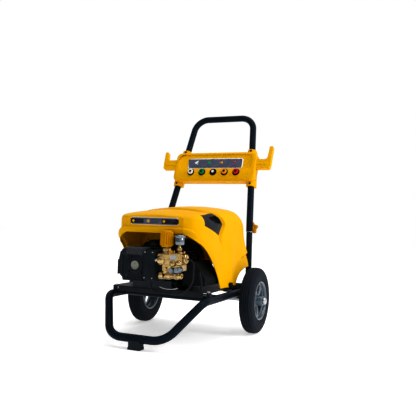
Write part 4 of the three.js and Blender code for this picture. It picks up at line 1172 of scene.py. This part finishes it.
def vents():
    """A dark insert in each side: a plate that follows the hood a little proud of it, sunk into a
    deep slot, with slats across the slot."""
    slot_line = np.array([(-288, 445), (-216, 452), (-196, 441), (-186, 424), (-238, 423), (-286, 438)])
    y = np.linspace(VENT[:, 0].min(), VENT[:, 0].max(), 110)[:, None]
    up = np.interp(y[:, 0], VENT[:4, 0], VENT[:4, 1])[:, None]
    lower = VENT[[5, 4, 3]]
    down = np.interp(y[:, 0], lower[:, 0], lower[:, 1])[:, None]
    share = np.linspace(0, 1, 64)
    z = down + (up - down) * share
    y = np.broadcast_to(y, z.shape)
    flat = np.stack([y.ravel(), z.ravel()], axis=-1)
    border = distance_to(flat, np.vstack([VENT, VENT[:1]])).reshape(z.shape)
    slot_edge = distance_to(flat, np.vstack([slot_line, slot_line[:1]])).reshape(z.shape)
    within = inside(flat, slot_line).reshape(z.shape)
    sunk = np.where(within, step(slot_edge, 0, 2.0) * 14, 0)
    raised = 2.2 * step(border, 0, 1.6) - 1.6 + np.where(within, 0, 0.9 * np.exp(-(slot_edge / 2.5) ** 2))
    base = hood_side(y, z) + hood_relief(y, z) * 0.9
    for word, side in SIDES:
        front = np.stack([side * (base + raised - sunk), y, z], axis=-1)
        back = np.stack([side * (base - 3.5 - sunk), y, z], axis=-1)
        rims = [grid(np.stack([edge_a, edge_b])) for edge_a, edge_b in
                ((front[:, 0], back[:, 0]), (front[:, -1], back[:, -1]), (front[0], back[0]))]
        points, faces = grid(front)
        slot = inside(points[faces[0]].mean(axis=1)[:, 1:], slot_line)
        plate = joined((points, [faces[0][~slot]]), grid(back), *rims)
        piece(f"vent_plate_{word}", plate, "plate", "chassis", [f"vent_{word}"])
        # The slot's sunk floor is black plastic as painted shade in the opening.
        piece(f"vent_slot_{word}", (points, [faces[0][slot]]), "black_plastic", "chassis")
        slats = []
        for start in np.linspace(-292, -210, 7):
            line_z = np.linspace(426, 450, 20)
            line_y = start + 0.25 * (line_z - 426)
            keep = inside(np.stack([line_y, line_z], axis=-1), slot_line)
            if keep.sum() < 4:
                continue
            line_y, line_z = line_y[keep], line_z[keep]
            x = side * (hood_side(line_y, line_z) - 4.5)
            edge = np.stack([x, line_y, line_z], axis=-1)
            slats.append(tube(edge, 1.6, (0, 1, 0), 10))
        piece(f"vent_slats_{word}", joined(*slats), "black_plastic", "chassis")


def hood_badge():
    """The front label: a dark film with a pale edge and plain marks, on the hood's front."""
    face = HOOD_FRONT - 0.2
    low, high = box_of("hood_label")
    half, mid, tall = (high[0] - low[0]) / 2, (low[2] + high[2]) / 2, (high[2] - low[2]) / 2
    piece("hood_label_edge", rounded_plate(half, tall, 3, 0, mid, face - 0.5, face), "dial", "chassis")
    piece("hood_label_film", rounded_plate(half - 1.1, tall - 1.1, 2.2, 0, mid, face - 0.9, face - 0.3),
          "label",
          "chassis", ["hood_label"], bevel=0.15)
    blocks = [prism([(x, mid - 8), (x + run, mid - 8), (x + run, mid + 8), (x, mid + 8)], face - 1.05,
                    face - 0.7, "y")
              for x, run in ((-95, 52), (29, 66))]
    piece("hood_label_blocks", joined(*blocks), "black_plastic", "chassis")
    marks = [prism([(x, mid - 6), (x + 6, mid), (x, mid + 6), (x - 6, mid)], face - 1.3, face - 0.9, "y")
             for x in (-84, -24, 38)]
    piece("hood_label_marks", joined(*marks), "yellow_plastic", "chassis")
    lines = [prism([(x, z), (x + run, z), (x + run, z + 2.2), (x, z + 2.2)], face - 1.25, face - 0.9, "y")
             for x, runs in ((-75, (40, 34, 38)), (-15, (42, 36, 30)), (47, (34, 38, 26)))
             for run, z in zip(runs, (mid + 4, mid - 1, mid - 6))]
    piece("hood_label_lines", joined(*lines), "plate", "chassis")


def hood_fixings():
    """The hood's two hand screws: a fluted head on a short stud."""
    for word, side in SIDES:
        low, high = box_of(f"hood_knob_{word}")
        middle = (low + high) / 2
        profile = [(168, 0), (168, 3.8), (186, 3.8), (187, 8), (188, 9), (198, 9), (199.6, 7.6), (200, 5),
                   (199, 4), (199, 0)]

        def flutes(angle, along):
            """Shallow grooves: the radius dips with the cosine of the turn inside one band."""
            return 1 - 0.07 * (0.5 + 0.5 * np.cos(12 * angle)) * step(np.abs(along), 187, 188)

        line = [(side * x, r) for x, r in profile]
        piece(f"hood_knob_grip_{word}", turned(line, "x", (0, middle[1], middle[2]), 96, flutes),
              "black_plastic",
              f"hood_knob_{word}", [f"hood_knob_{word}"])


# ---- pump -----------------------------------------------------------------------------------------
def crankcase():
    """The crankcase: a chamfered casting with cooling fins above and below and a ribbed left edge. The upper fins
    are pale grey as a painted highlight, and the other fins and ribs take the slightly paler tray coat as a faint
    painted highlight.
    """
    low, high = box_of("crankcase")
    left, right, front, back, bottom, top = low[0], high[0], low[1], high[1] - 12, low[2] + 8, high[2] - 4
    core = [(right, bottom + 8), (right, top - 9), (right - 6, top - 6), (left + 26, top - 7),
            (left + 10, top - 16),
            (left + 3, top - 50), (left + 5, bottom + 24), (left + 20, bottom + 10), (left + 32, bottom + 7),
            (right - 6, bottom + 6)]
    parts = [prism(core, front + 3, back, "y")]
    frame_edge = [(right, bottom + 4), (right, top - 4), (right - 6, top), (left + 24, top),
                  (left + 8, top - 10),
                  (left, top - 48), (left + 2, bottom + 22), (left + 18, bottom + 4), (left + 30, bottom),
                  (right - 6, bottom)]
    parts += [prism(frame_edge, back - 10, back, "y"), prism(frame_edge, back - 34, back - 28, "y")]
    cradle = rod("y", 46, back - 1, back + 12, (SHAFT_X, 0, SHAFT_Z), 60, 1.5)
    piece("crankcase_body", joined(*parts, cradle), "cast_black", "chassis", ["crankcase"], bevel=2.2,
          segments=3)
    fins, painted_highlight_fins = [], []
    for x in np.arange(left + 24, right - 46, 6.2):
        for near, far, slant in ((top - 25, top - 0.4, 8), (bottom + 0.6, bottom + 16, -5)):
            outline = [(x, near), (x + 2.7, near), (x + 2.7 + slant, far), (x + slant, far)]
            (painted_highlight_fins if slant > 0 else fins).append(
                prism(np.clip(outline, [left, bottom], [right, top]), front + 0.4, back - 2, "y"))
    for level in np.arange(bottom + 26, top - 42, 9.5):
        fins.append(prism([(left + 3, level), (left + 19, level), (left + 19, level + 4.2),
                           (left + 3, level + 4.2)], front - 0.6, front + 6, "y"))
    fins.append(prism([(left + 17, bottom + 20), (left + 20, bottom + 20), (left + 20, top - 34),
                       (left + 17, top - 34)], front - 0.8, front + 6, "y"))
    fins.append(prism([(left + 3, bottom + 20), (left + 5.5, bottom + 20), (left + 5.5, top - 44),
                       (left + 3, top - 44)], front - 0.8, front + 6, "y"))
    for (x0, z0), (x1, z1) in (((-78, 318), (-62, 296)), ((-12, 300), (-4, 318)), ((-60, 250), (-72, 234))):
        run = np.array([x1 - x0, z1 - z0], float)
        side = np.array([-run[1], run[0]]) / np.hypot(*run) * 2.4
        corners = [np.array([x0, z0]) + side, np.array([x1, z1]) + side, np.array([x1, z1]) - side,
                   np.array([x0, z0]) - side]
        fins.append(prism(corners, front - 0.4, front + 6, "y"))
    # The lower fins, the left ribs and the struts take the tray coat, a shade paler than the casting, as a faint
    # painted highlight.
    piece("crankcase_fins", joined(*fins), "plate", "chassis", bevel=0.7)
    # The upper fins are pale grey plastic as a painted highlight, light catching their edges.
    piece("crankcase_slashes", joined(*painted_highlight_fins), "grey_plastic", "chassis", bevel=0.7)
    bearing = turned([(front + 4, 0), (front + 4, 30), (front + 0.5, 29.5), (front - 1, 27.5),
                      (front - 1.4, 21),
                      (front - 0.4, 20), (front + 0.6, 19), (front + 0.6, 0)], "y", (SHAFT_X, 0, SHAFT_Z), 72)
    plug = turned([(front + 4, 8.5), (front - 2, 8), (front - 3.2, 6.6), (front - 3.2, 3.4), (front - 2, 2.8),
                   (front - 2, 0)], "y", (-80, 0, 322), 40)
    bolts = [hexagon("y", 4.6, front - 2.4, front + 3,
                     (SHAFT_X + 36 * math.cos(a), 0, SHAFT_Z + 36 * math.sin(a)), a)
             for a in (0.6, 2.2, 3.9, 5.4)]
    barb = rod("z", 4, bottom - 8, bottom + 10, (HOSE_CORNERS[-1][0], HEAD_Y, 0), 28, 0.5)
    piece("crankcase_bosses", joined(bearing, plug, barb, *bolts), "cast_black", "chassis", bevel=0.4)
    glass = turned([(front + 0.3, 15), (front - 3.4, 15), (front - 4.4, 14), (front - 4.4, 12.6),
                    (front - 3.4, 12), (front - 3.9, 8), (front - 4.2, 0)], "y", (SHAFT_X, 0, SHAFT_Z), 64)
    piece("oil_sight_glass", glass, "sight_glass", "chassis", ["sight_glass"])
    cover = rounded_plate(20, 50, 5, 20, 278, front - 6, front + 0.2, 48)
    inner = rounded_plate(13, 34, 4, 20, 278, front - 7.4, front - 5.5, 48)
    piece("crankcase_cover_plate", joined(cover, inner), "cast_black", "chassis", ["crankcase_cover"],
          bevel=0.9)
    heads = []
    for x in (5.5, 34.5):
        for z in (235, 321):
            heads.append(turned([(front - 5.8, 2.2), (front - 7.8, 2.1), (front - 8.4, 1.7),
                                 (front - 8.4, 1.1),
                                 (front - 6.8, 1.0), (front - 6.8, 0)], "y", (x, 0, z), 28))
    heads.append(rod("y", 4.4, front - 5, front + 4, (46, 0, 296), 32, 0.8))
    piece("cover_screws", joined(*heads), "steel", "chassis")
    cap_low = box_of("oil_cap")[0][2]

    def flutes(angle, along):
        """Shallow grooves: the radius dips with the cosine of the turn inside one band."""
        return 1 - 0.06 * (0.5 + 0.5 * np.cos(14 * angle)) * (1 - step(along, cap_low + 8, cap_low + 9))

    cap = turned([(cap_low, 0), (cap_low, 11), (cap_low + 1, 12), (cap_low + 8, 12), (cap_low + 9.2, 10.5),
                  (cap_low + 9.2, 7), (cap_low + 14, 6.6), (cap_low + 15, 5.4), (cap_low + 15, 0)], "z",
                 (10, -430, 0), 84, flutes)
    piece("oil_filler_cap", cap, "black_plastic", "oil_cap", ["oil_cap"])


def pump_head():
    """The brass head: a forged block with valve caps, a neck under the knob and a lower pipe run."""
    knob_low, knob_high = box_of("unloader_knob")
    gauge_low, gauge_high = box_of("gauge_case")
    knob_x, gauge_x = (knob_low[0] + knob_high[0]) / 2, (gauge_low[0] + gauge_high[0]) / 2
    body = [prism([(41, 288), (45, 284), (132, 284), (137, 289), (137, 316), (131, 322), (92, 322), (88, 318),
                   (48, 318), (41, 312)], -462, -418, "y"),
            prism([(62, 262), (66, 259), (132, 259), (137, 263), (137, 283), (134, 286), (62, 286)], -459,
                  -421, "y")]
    piece("pump_head_block", joined(*body), "brass", "chassis", ["pump_manifold"], bevel=2.4, segments=3)
    rounds = [
        turned([(-430, 0), (-430, 16), (-463, 16), (-466, 14.6), (-466, 11.8), (-469, 11), (-470, 9),
                (-470, 0)], "y", (57, 0, 296), 56),
        turned([(316, 0), (316, 15), (320, 15), (321, 13), (325, 12.4), (325.6, 14.2), (327.6, 14.2),
                (328.4, 12.2), (334, 12.2), (334, 0)], "z", (knob_x, HEAD_Y, 0), 56),
        turned([(244, 0), (244, 13), (290, 13), (290, 0)], "z", (68, HEAD_Y, 0), 48),
        turned([(40.5, 0), (40.5, 13), (44, 14), (58, 14), (59, 11.8), (62, 11.8), (63, 14), (84, 14),
                (88, 12), (88, 0)], "x", (0, HEAD_Y, 245), 56),
        turned([(318, 6), (330, 6), (330, 5), (gauge_low[2] + 1, 5)], "z", (gauge_x, HEAD_Y, 0), 32),
        turned([(136, 0), (136, 14.5), (138, 16), (144, 16), (146, 14.4), (146, 11), (144.6, 10.2),
                (144.6, 0)], "x", (0, HEAD_Y, 303), 56),
        turned([(-462, 10.5), (-466, 10.2), (-468.5, 8.2), (-470.2, 4.4), (-470.6, 0)], "y", (104, 0, 287),
               44),
        turned([(-462, 9.5), (-466, 9.2), (-468.5, 7.4), (-470.0, 4.0), (-470.4, 0)], "y", (126, 0, 290), 44),
        rod("z", 5, 322, 345, (knob_x, HEAD_Y, 0), 28, 0.4),
    ]
    rounds += [rod("z", 4, 318, 327.5, (x, y, 0), 24, 0.6) for x in (90, 128) for y in (-453, -427)]
    piece("pump_head_turnings", joined(*rounds), "brass", "chassis")
    nuts = [hexagon("z", 16, 327, 336, (knob_x, HEAD_Y, 0), 0.2),
            hexagon("z", 9, 330, 340, (gauge_x, HEAD_Y, 0), 0.4),
            hexagon("y", 7.2, -465, -458, (74, 0, 268), 0.1),
            hexagon("y", 6.2, -464, -458, (92, 0, 276), 0.5),
            hexagon("z", 6.4, 321.6, 325.6, (90, -453, 0), 0.3),
            hexagon("z", 6.4, 321.6, 325.6, (128, -453, 0), 0.1)]
    piece("pump_head_hexes", joined(*nuts), "brass", "chassis", bevel=0.6)
    bright = []
    for x, z, size in ((102, 264, 9.4), (122, 266, 9.4), (133.5, 270, 7.4)):
        bright.append(hexagon("y", size, -474, -458, (x, 0, z), 0.35))
        bright.append(turned([(-458, size), (-460, size + 1.2), (-461, size + 1.2), (-462, size)], "y",
                             (x, 0, z), 36))
    piece("pump_valve_nuts", joined(*bright), "chrome", "chassis", bevel=0.7)
    patch = rounded_plate(11, 7, 3, 104, 308, -463.2, -461, 40)
    piece("pump_head_pad", patch, "steel", "chassis", bevel=0.5)
    clip = prism([(87, 318), (97, 318), (98, 327), (94, 331), (88, 329)], -462, -450, "y")
    piece("pump_head_clip", clip, "yellow_knob", "chassis", bevel=1.0)
    tail = [(88.3, 0), (88.3, 10), (90, 11), (98, 11), (99, 9.4), (101, 9.4), (102, 11), (104.5, 11),
            (104.5, 10),
            (112, 10), (113, 11.6), (115, 12.4), (118, 12.4), (119, 10), (121.5, 8.6), (123, 8.6), (124, 10),
            (127.5, 10), (129, 8.8), (129, 5), (96, 5), (96, 0)]
    coupler = turned(tail, "x", (0, HEAD_Y, 245), 64)
    collar = hexagon("x", 13, 103.5, 112, (0, HEAD_Y, 245), 0.5)
    piece("outlet_nipple", joined(coupler, collar), "brass", "chassis", ["outlet_coupler"], bevel=0.35)
    span = np.linspace(-1, 1, 26)
    strap = np.stack([82 + 34 * span, -444 + 0 * span, 199 + 6 * span ** 2], axis=-1)
    piece("outlet_strap", tube(strap, 1.5, (0, 1, 0), 14), "steel", "chassis")


def unloader_knob():
    """The pressure knob: a tapered grip whose radius dips in even ribs, with a chamfered top."""
    low, high = box_of("unloader_knob")
    middle, radius = (low + high) / 2, (high[0] - low[0]) / 2
    base, top = low[2], high[2]
    profile = [(base, 0), (base, 17.5), (base + 1, 18.5), (base + 5, 19), (base + 6.5, radius - 0.7),
               (base + 9, radius), (top - 13, radius - 0.6), (top - 8, radius - 1.6), (top - 4, radius - 4.6),
               (top - 0.8, radius - 8), (top, radius - 10), (top, 8), (top - 1.6, 7), (top - 1.6, 0)]
    ribs = bpy.context.scene.washer_sizes.knob_ribs

    def grip(angle, along):
        """Even ribs: the radius dips with a sharpened cosine of the turn between the skirt and the top."""
        band = step(along, base + 5, base + 8) * (1 - step(along, top - 9, top - 5))
        return 1 - 0.2 * band * (0.5 + 0.5 * np.cos(ribs * angle)) ** 2.5

    piece("unloader_grip", turned(profile, "z", (middle[0], middle[1], 0), ribs * 10, grip), "yellow_knob",
          "unloader_knob", ["unloader_knob"])


def gauge():
    """The pressure gauge: a plated can with a stepped bezel, a white dial, ticks, and a needle."""
    low, high = box_of("gauge_case")
    middle, radius, base, top = (low + high) / 2, (high[0] - low[0]) / 2, low[2], high[2]
    place = (middle[0], middle[1], 0)
    case = [(base, 0), (base, 9), (base + 0.5, 10), (base + 1.5, radius - 4), (base + 3, radius - 3),
            (top - 11, radius - 3),
            (top - 10, radius - 4), (top - 8.4, radius - 4), (top - 7.4, radius), (top - 1.5, radius),
            (top, radius - 1.4),
            (top, radius - 3), (top - 1.2, radius - 3.6), (top - 6.5, radius - 3.6), (top - 6.5, 0)]
    piece("gauge_can", turned(case, "z", place, 72), "chrome", "chassis", ["gauge_case"])
    face = top - 5.6
    piece("gauge_face",
          turned([(face - 0.8, 0), (face - 0.8, radius - 3.8), (face, radius - 3.8), (face, 0)], "z", place,
                 64), "dial", "chassis", ["gauge_dial"])
    ticks = []
    for turn in np.radians(np.linspace(-45, 225, 19)):
        along, across = np.array([math.cos(turn), math.sin(turn)]), np.array([-math.sin(turn),
                                                                              math.cos(turn)])
        spot = np.array(place[:2])
        outline = [spot + along * a + across * b for a,
                   b in ((12.5, -0.4), (15.2, -0.4), (15.2, 0.4), (12.5, 0.4))]
        ticks.append(prism(outline, face, face + 0.2, "z"))
    piece("gauge_ticks", joined(*ticks), "black_plastic", "chassis")
    x, y = place[:2]
    pointer = prism([(x - 5, y - 1.1), (x + 4, y - 1.1), (x + 14, y - 0.2), (x + 14, y + 0.2),
                     (x + 4, y + 1.1), (x - 5, y + 1.1)], face + 0.5, face + 1.1, "z")
    pin = rod("z", 2.5, face + 0.2, face + 1.9, place, 24, 0.4)
    piece("gauge_pointer", joined(pointer, pin), "black_plastic", "gauge_needle", ["gauge_needle"])


# ---- motor and back -------------------------------------------------------------------------------
def motor():
    """The motor: a round can whose radius steps out in even cooling fins, with a plain bell."""
    low, high = box_of("motor_body")
    x, z = SHAFT_X, SHAFT_Z
    length = [(-330, 0), (-330, 70), (-327, 76), (-322, 78), (-320, 84), (-125, 84), (-123, 78), (-113, 78),
              (-112, 70), (-112, 0)]

    def fins(angle, along):
        """Cooling fins: the radius dips between even steps of the turn."""
        band = step(along, -322, -318) * (1 - step(along, -126, -122))
        return 1 - 0.07 * band * step(np.cos(44 * angle), -0.3, 0.3)

    can = turned(length, "y", (x, 0, z), 704, fins)
    bell = turned([(low[1] + 0.3, 0), (low[1] + 0.3, 54), (low[1] + 3, 59), (low[1] + 12, 60), (-329, 60),
                   (-329, 0)], "y", (x, 0, z), 72)
    piece("motor_can", joined(can, bell), "motor", "chassis", ["motor_body"])
    low, high = box_of("terminal_box")
    under = low[2] + 17
    outline = [(low[0], under), (high[0], under), (high[0], 229), (124, high[2]), (low[0], high[2])]
    box = prism(outline, low[1], high[1], "y")
    lid = prism([(low[0] + 6, under + 6), (high[0] - 6, under + 6), (high[0] - 6, 226), (121, high[2] - 7),
                 (low[0] + 6, high[2] - 7)], low[1] - 2, low[1] + 1, "y")
    piece("terminal_box_moulding", joined(box, lid), "black_plastic", "chassis", ["terminal_box"], bevel=2.5,
          segments=3)
    brace = prism([(150, 252), (157, 254), (165, 214), (165, 190), (158, 190), (158, 212)], -352, -346, "y")
    piece("side_brace", brace, "cast_black", "chassis", bevel=1.0)


def power_switch():
    """The switch on the rear wall: a dished dial with a tapered lever across it and a ring behind."""
    low, high = box_of("power_switch")
    x, z = (low[0] + high[0]) / 2, (low[2] + high[2]) / 2
    dial = turned([(low[1], 0), (low[1], 18), (low[1] + 5, 17.6), (low[1] + 7.4, 15.8), (low[1] + 8, 13),
                   (low[1] + 7, 11), (low[1] + 7, 0)], "y", (x, 0, z), 72)
    lever = prism([(x - 2.6, z - 15.5), (x + 2.6, z - 15.5), (x + 4, z + 15), (x + 2.4, z + 16),
                   (x - 2.4, z + 16), (x - 4, z + 15)], low[1] + 5, high[1], "y")
    piece("switch_dial", joined(dial, lever), "black_plastic", "power_switch", ["power_switch"], bevel=0.8)
    ring = turned([(58.2, 19), (62, 19.4), (62.6, 20.4), (62.2, 25), (60.5, 26.2), (58.2, 26.4)], "y",
                  (x, 0, z), 72)
    piece("switch_ring", grid(ring[0].reshape(6, -1, 3), True, True), "grey_plastic", "chassis")


# ---- add-on ---------------------------------------------------------------------------------------
def colour(name, description, default):
    """A colour that the side panel shows."""
    return bpy.props.FloatVectorProperty(name=name, description=description, default=default, subtype="COLOR",
                                         size=3, min=0.0, max=1.0)


class WasherColours(bpy.types.PropertyGroup):
    """The colours of the washer's finishes."""
    shell: colour("Shell", "Colour of the hood, the nozzle panel and its hooks", (0.74, 0.375, 0.0))
    knob: colour("Knobs", "Colour of the pressure knob and the handle's star knobs", (0.52, 0.22, 0.0))
    coat: colour("Frame coat", "Colour of the powder coat on the tubes", (0.004, 0.008, 0.013))
    tray: colour("Tray coat", "Colour of the tray and of the vents", (0.014, 0.016, 0.020))
    tyre: colour("Tyres", "Colour of the tyre rubber", (0.007, 0.010, 0.015))
    rim: colour("Rims", "Colour of the wheel paint", (0.075, 0.105, 0.135))
    brass: colour("Brass", "Colour of the pump head", (0.56, 0.39, 0.16))
    label: colour("Labels", "Colour of the label film", (0.06, 0.07, 0.115))


class WasherSizes(bpy.types.PropertyGroup):
    """The sizes and counts of the washer's moulded and turned details."""
    hood_wall: bpy.props.FloatProperty(
        name="Hood wall", description="Thickness of the hood's moulding", default=0.003, min=0.001, max=0.006,
        unit="LENGTH")
    groove_depth: bpy.props.FloatProperty(
        name="Groove depth", description="Depth of the grooves round each tyre", default=0.0036, min=0.001,
        max=0.008, unit="LENGTH")
    tyre_grooves: bpy.props.IntProperty(
        name="Tyre grooves", description="Number of grooves round each tyre", default=4, min=1, max=6)
    spokes: bpy.props.IntProperty(
        name="Spokes", description="Number of spokes in each rim", default=5, min=3, max=9)
    knob_ribs: bpy.props.IntProperty(
        name="Knob ribs", description="Number of ribs round the pressure knob", default=16, min=12, max=40)


class WasherOperator:
    """What every button shares: it runs its steps in order."""
    bl_options = {"REGISTER", "UNDO"}
    steps = ()

    def execute(self, context):
        for make in self.steps:
            make()
        return {"FINISHED"}


class WASHER_OT_stage(WasherOperator, bpy.types.Operator):
    """Add the camera, the lights and the floor"""
    bl_idname, bl_label = "washer.stage", "Stage"
    steps = (camera_and_light, floor)


class WASHER_OT_hose(WasherOperator, bpy.types.Operator):
    """Add the bypass hose between the pump head and the crankcase"""
    bl_idname, bl_label = "washer.hose", "Bypass hose"
    steps = (bypass_hose,)


class WASHER_OT_kept_nodes(WasherOperator, bpy.types.Operator):
    """Give the frame's own solids their finishes"""
    bl_idname, bl_label = "washer.kept_nodes", "Kept solids"
    steps = (coat_kept_nodes,)


class WASHER_OT_frame(WasherOperator, bpy.types.Operator):
    """Add the bent tubes, the brackets, the foot and the tray"""
    bl_idname, bl_label = "washer.frame", "Frame and tray"
    steps = (frame_tubes, front_pad, base_tray)


class WASHER_OT_wheels(WasherOperator, bpy.types.Operator):
    """Add the grooved tyres and the spoked rims"""
    bl_idname, bl_label = "washer.wheels", "Wheels"
    steps = (wheels,)


class WASHER_OT_handle(WasherOperator, bpy.types.Operator):
    """Add the handle's tube and its star knobs"""
    bl_idname, bl_label = "washer.handle", "Handle"
    steps = (handle_bow, joint_knobs)


class WASHER_OT_panel(WasherOperator, bpy.types.Operator):
    """Add the nozzle panel, its label and its side hooks"""
    bl_idname, bl_label = "washer.panel", "Nozzle panel"
    steps = (nozzle_panel, nozzle_label, hooks)


class WASHER_OT_nozzles(WasherOperator, bpy.types.Operator):
    """Add the five spray nozzles and their sockets, set low so that a painted shadow shows below each"""
    bl_idname, bl_label = "washer.nozzles", "Nozzles"
    steps = (nozzles,)


class WASHER_OT_hood(WasherOperator, bpy.types.Operator):
    """Add the hood, its vents, its label and its hand screws"""
    bl_idname, bl_label = "washer.hood", "Hood"
    steps = (hood_shell, vents, hood_badge, hood_fixings)


class WASHER_OT_pump(WasherOperator, bpy.types.Operator):
    """Add the crankcase, the brass head, the pressure knob and the gauge"""
    bl_idname, bl_label = "washer.pump", "Pump"
    steps = (crankcase, pump_head, unloader_knob, gauge)


class WASHER_OT_motor(WasherOperator, bpy.types.Operator):
    """Add the motor, its terminal box and the power switch"""
    bl_idname, bl_label = "washer.motor", "Motor and switch"
    steps = (motor, power_switch)


OPERATORS = (WASHER_OT_stage, WASHER_OT_hose, WASHER_OT_kept_nodes, WASHER_OT_frame, WASHER_OT_wheels,
             WASHER_OT_handle, WASHER_OT_panel, WASHER_OT_nozzles, WASHER_OT_hood, WASHER_OT_pump,
             WASHER_OT_motor)


class WASHER_PT_panel(bpy.types.Panel):
    """Lists the washer's sizes, its colours and its pieces"""
    bl_idname, bl_label = "WASHER_PT_panel", "Pressure Washer"
    bl_space_type, bl_region_type, bl_category = "VIEW_3D", "UI", "Washer"

    def draw(self, context):
        for group in (context.scene.washer_sizes, context.scene.washer_colours):
            for name in group.bl_rna.properties.keys():
                if name not in {"rna_type", "name"}:
                    self.layout.prop(group, name)
        for operator in OPERATORS:
            self.layout.operator(operator.bl_idname)


CLASSES = (WasherColours, WasherSizes, *OPERATORS, WASHER_PT_panel)


def register():
    """Registers the classes and gives the scene its sizes and colours."""
    for item in CLASSES:
        bpy.utils.register_class(item)
    bpy.types.Scene.washer_colours = bpy.props.PointerProperty(type=WasherColours)
    bpy.types.Scene.washer_sizes = bpy.props.PointerProperty(type=WasherSizes)


def unregister():
    """Takes the classes and the scene's settings away again."""
    del bpy.types.Scene.washer_sizes
    del bpy.types.Scene.washer_colours
    for item in reversed(CLASSES):
        bpy.utils.unregister_class(item)


def main():
    """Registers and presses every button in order."""
    register()
    for operator in OPERATORS:
        group, name = operator.bl_idname.split(".")
        getattr(getattr(bpy.ops, group), name)()


if __name__ == "__main__":
    main()
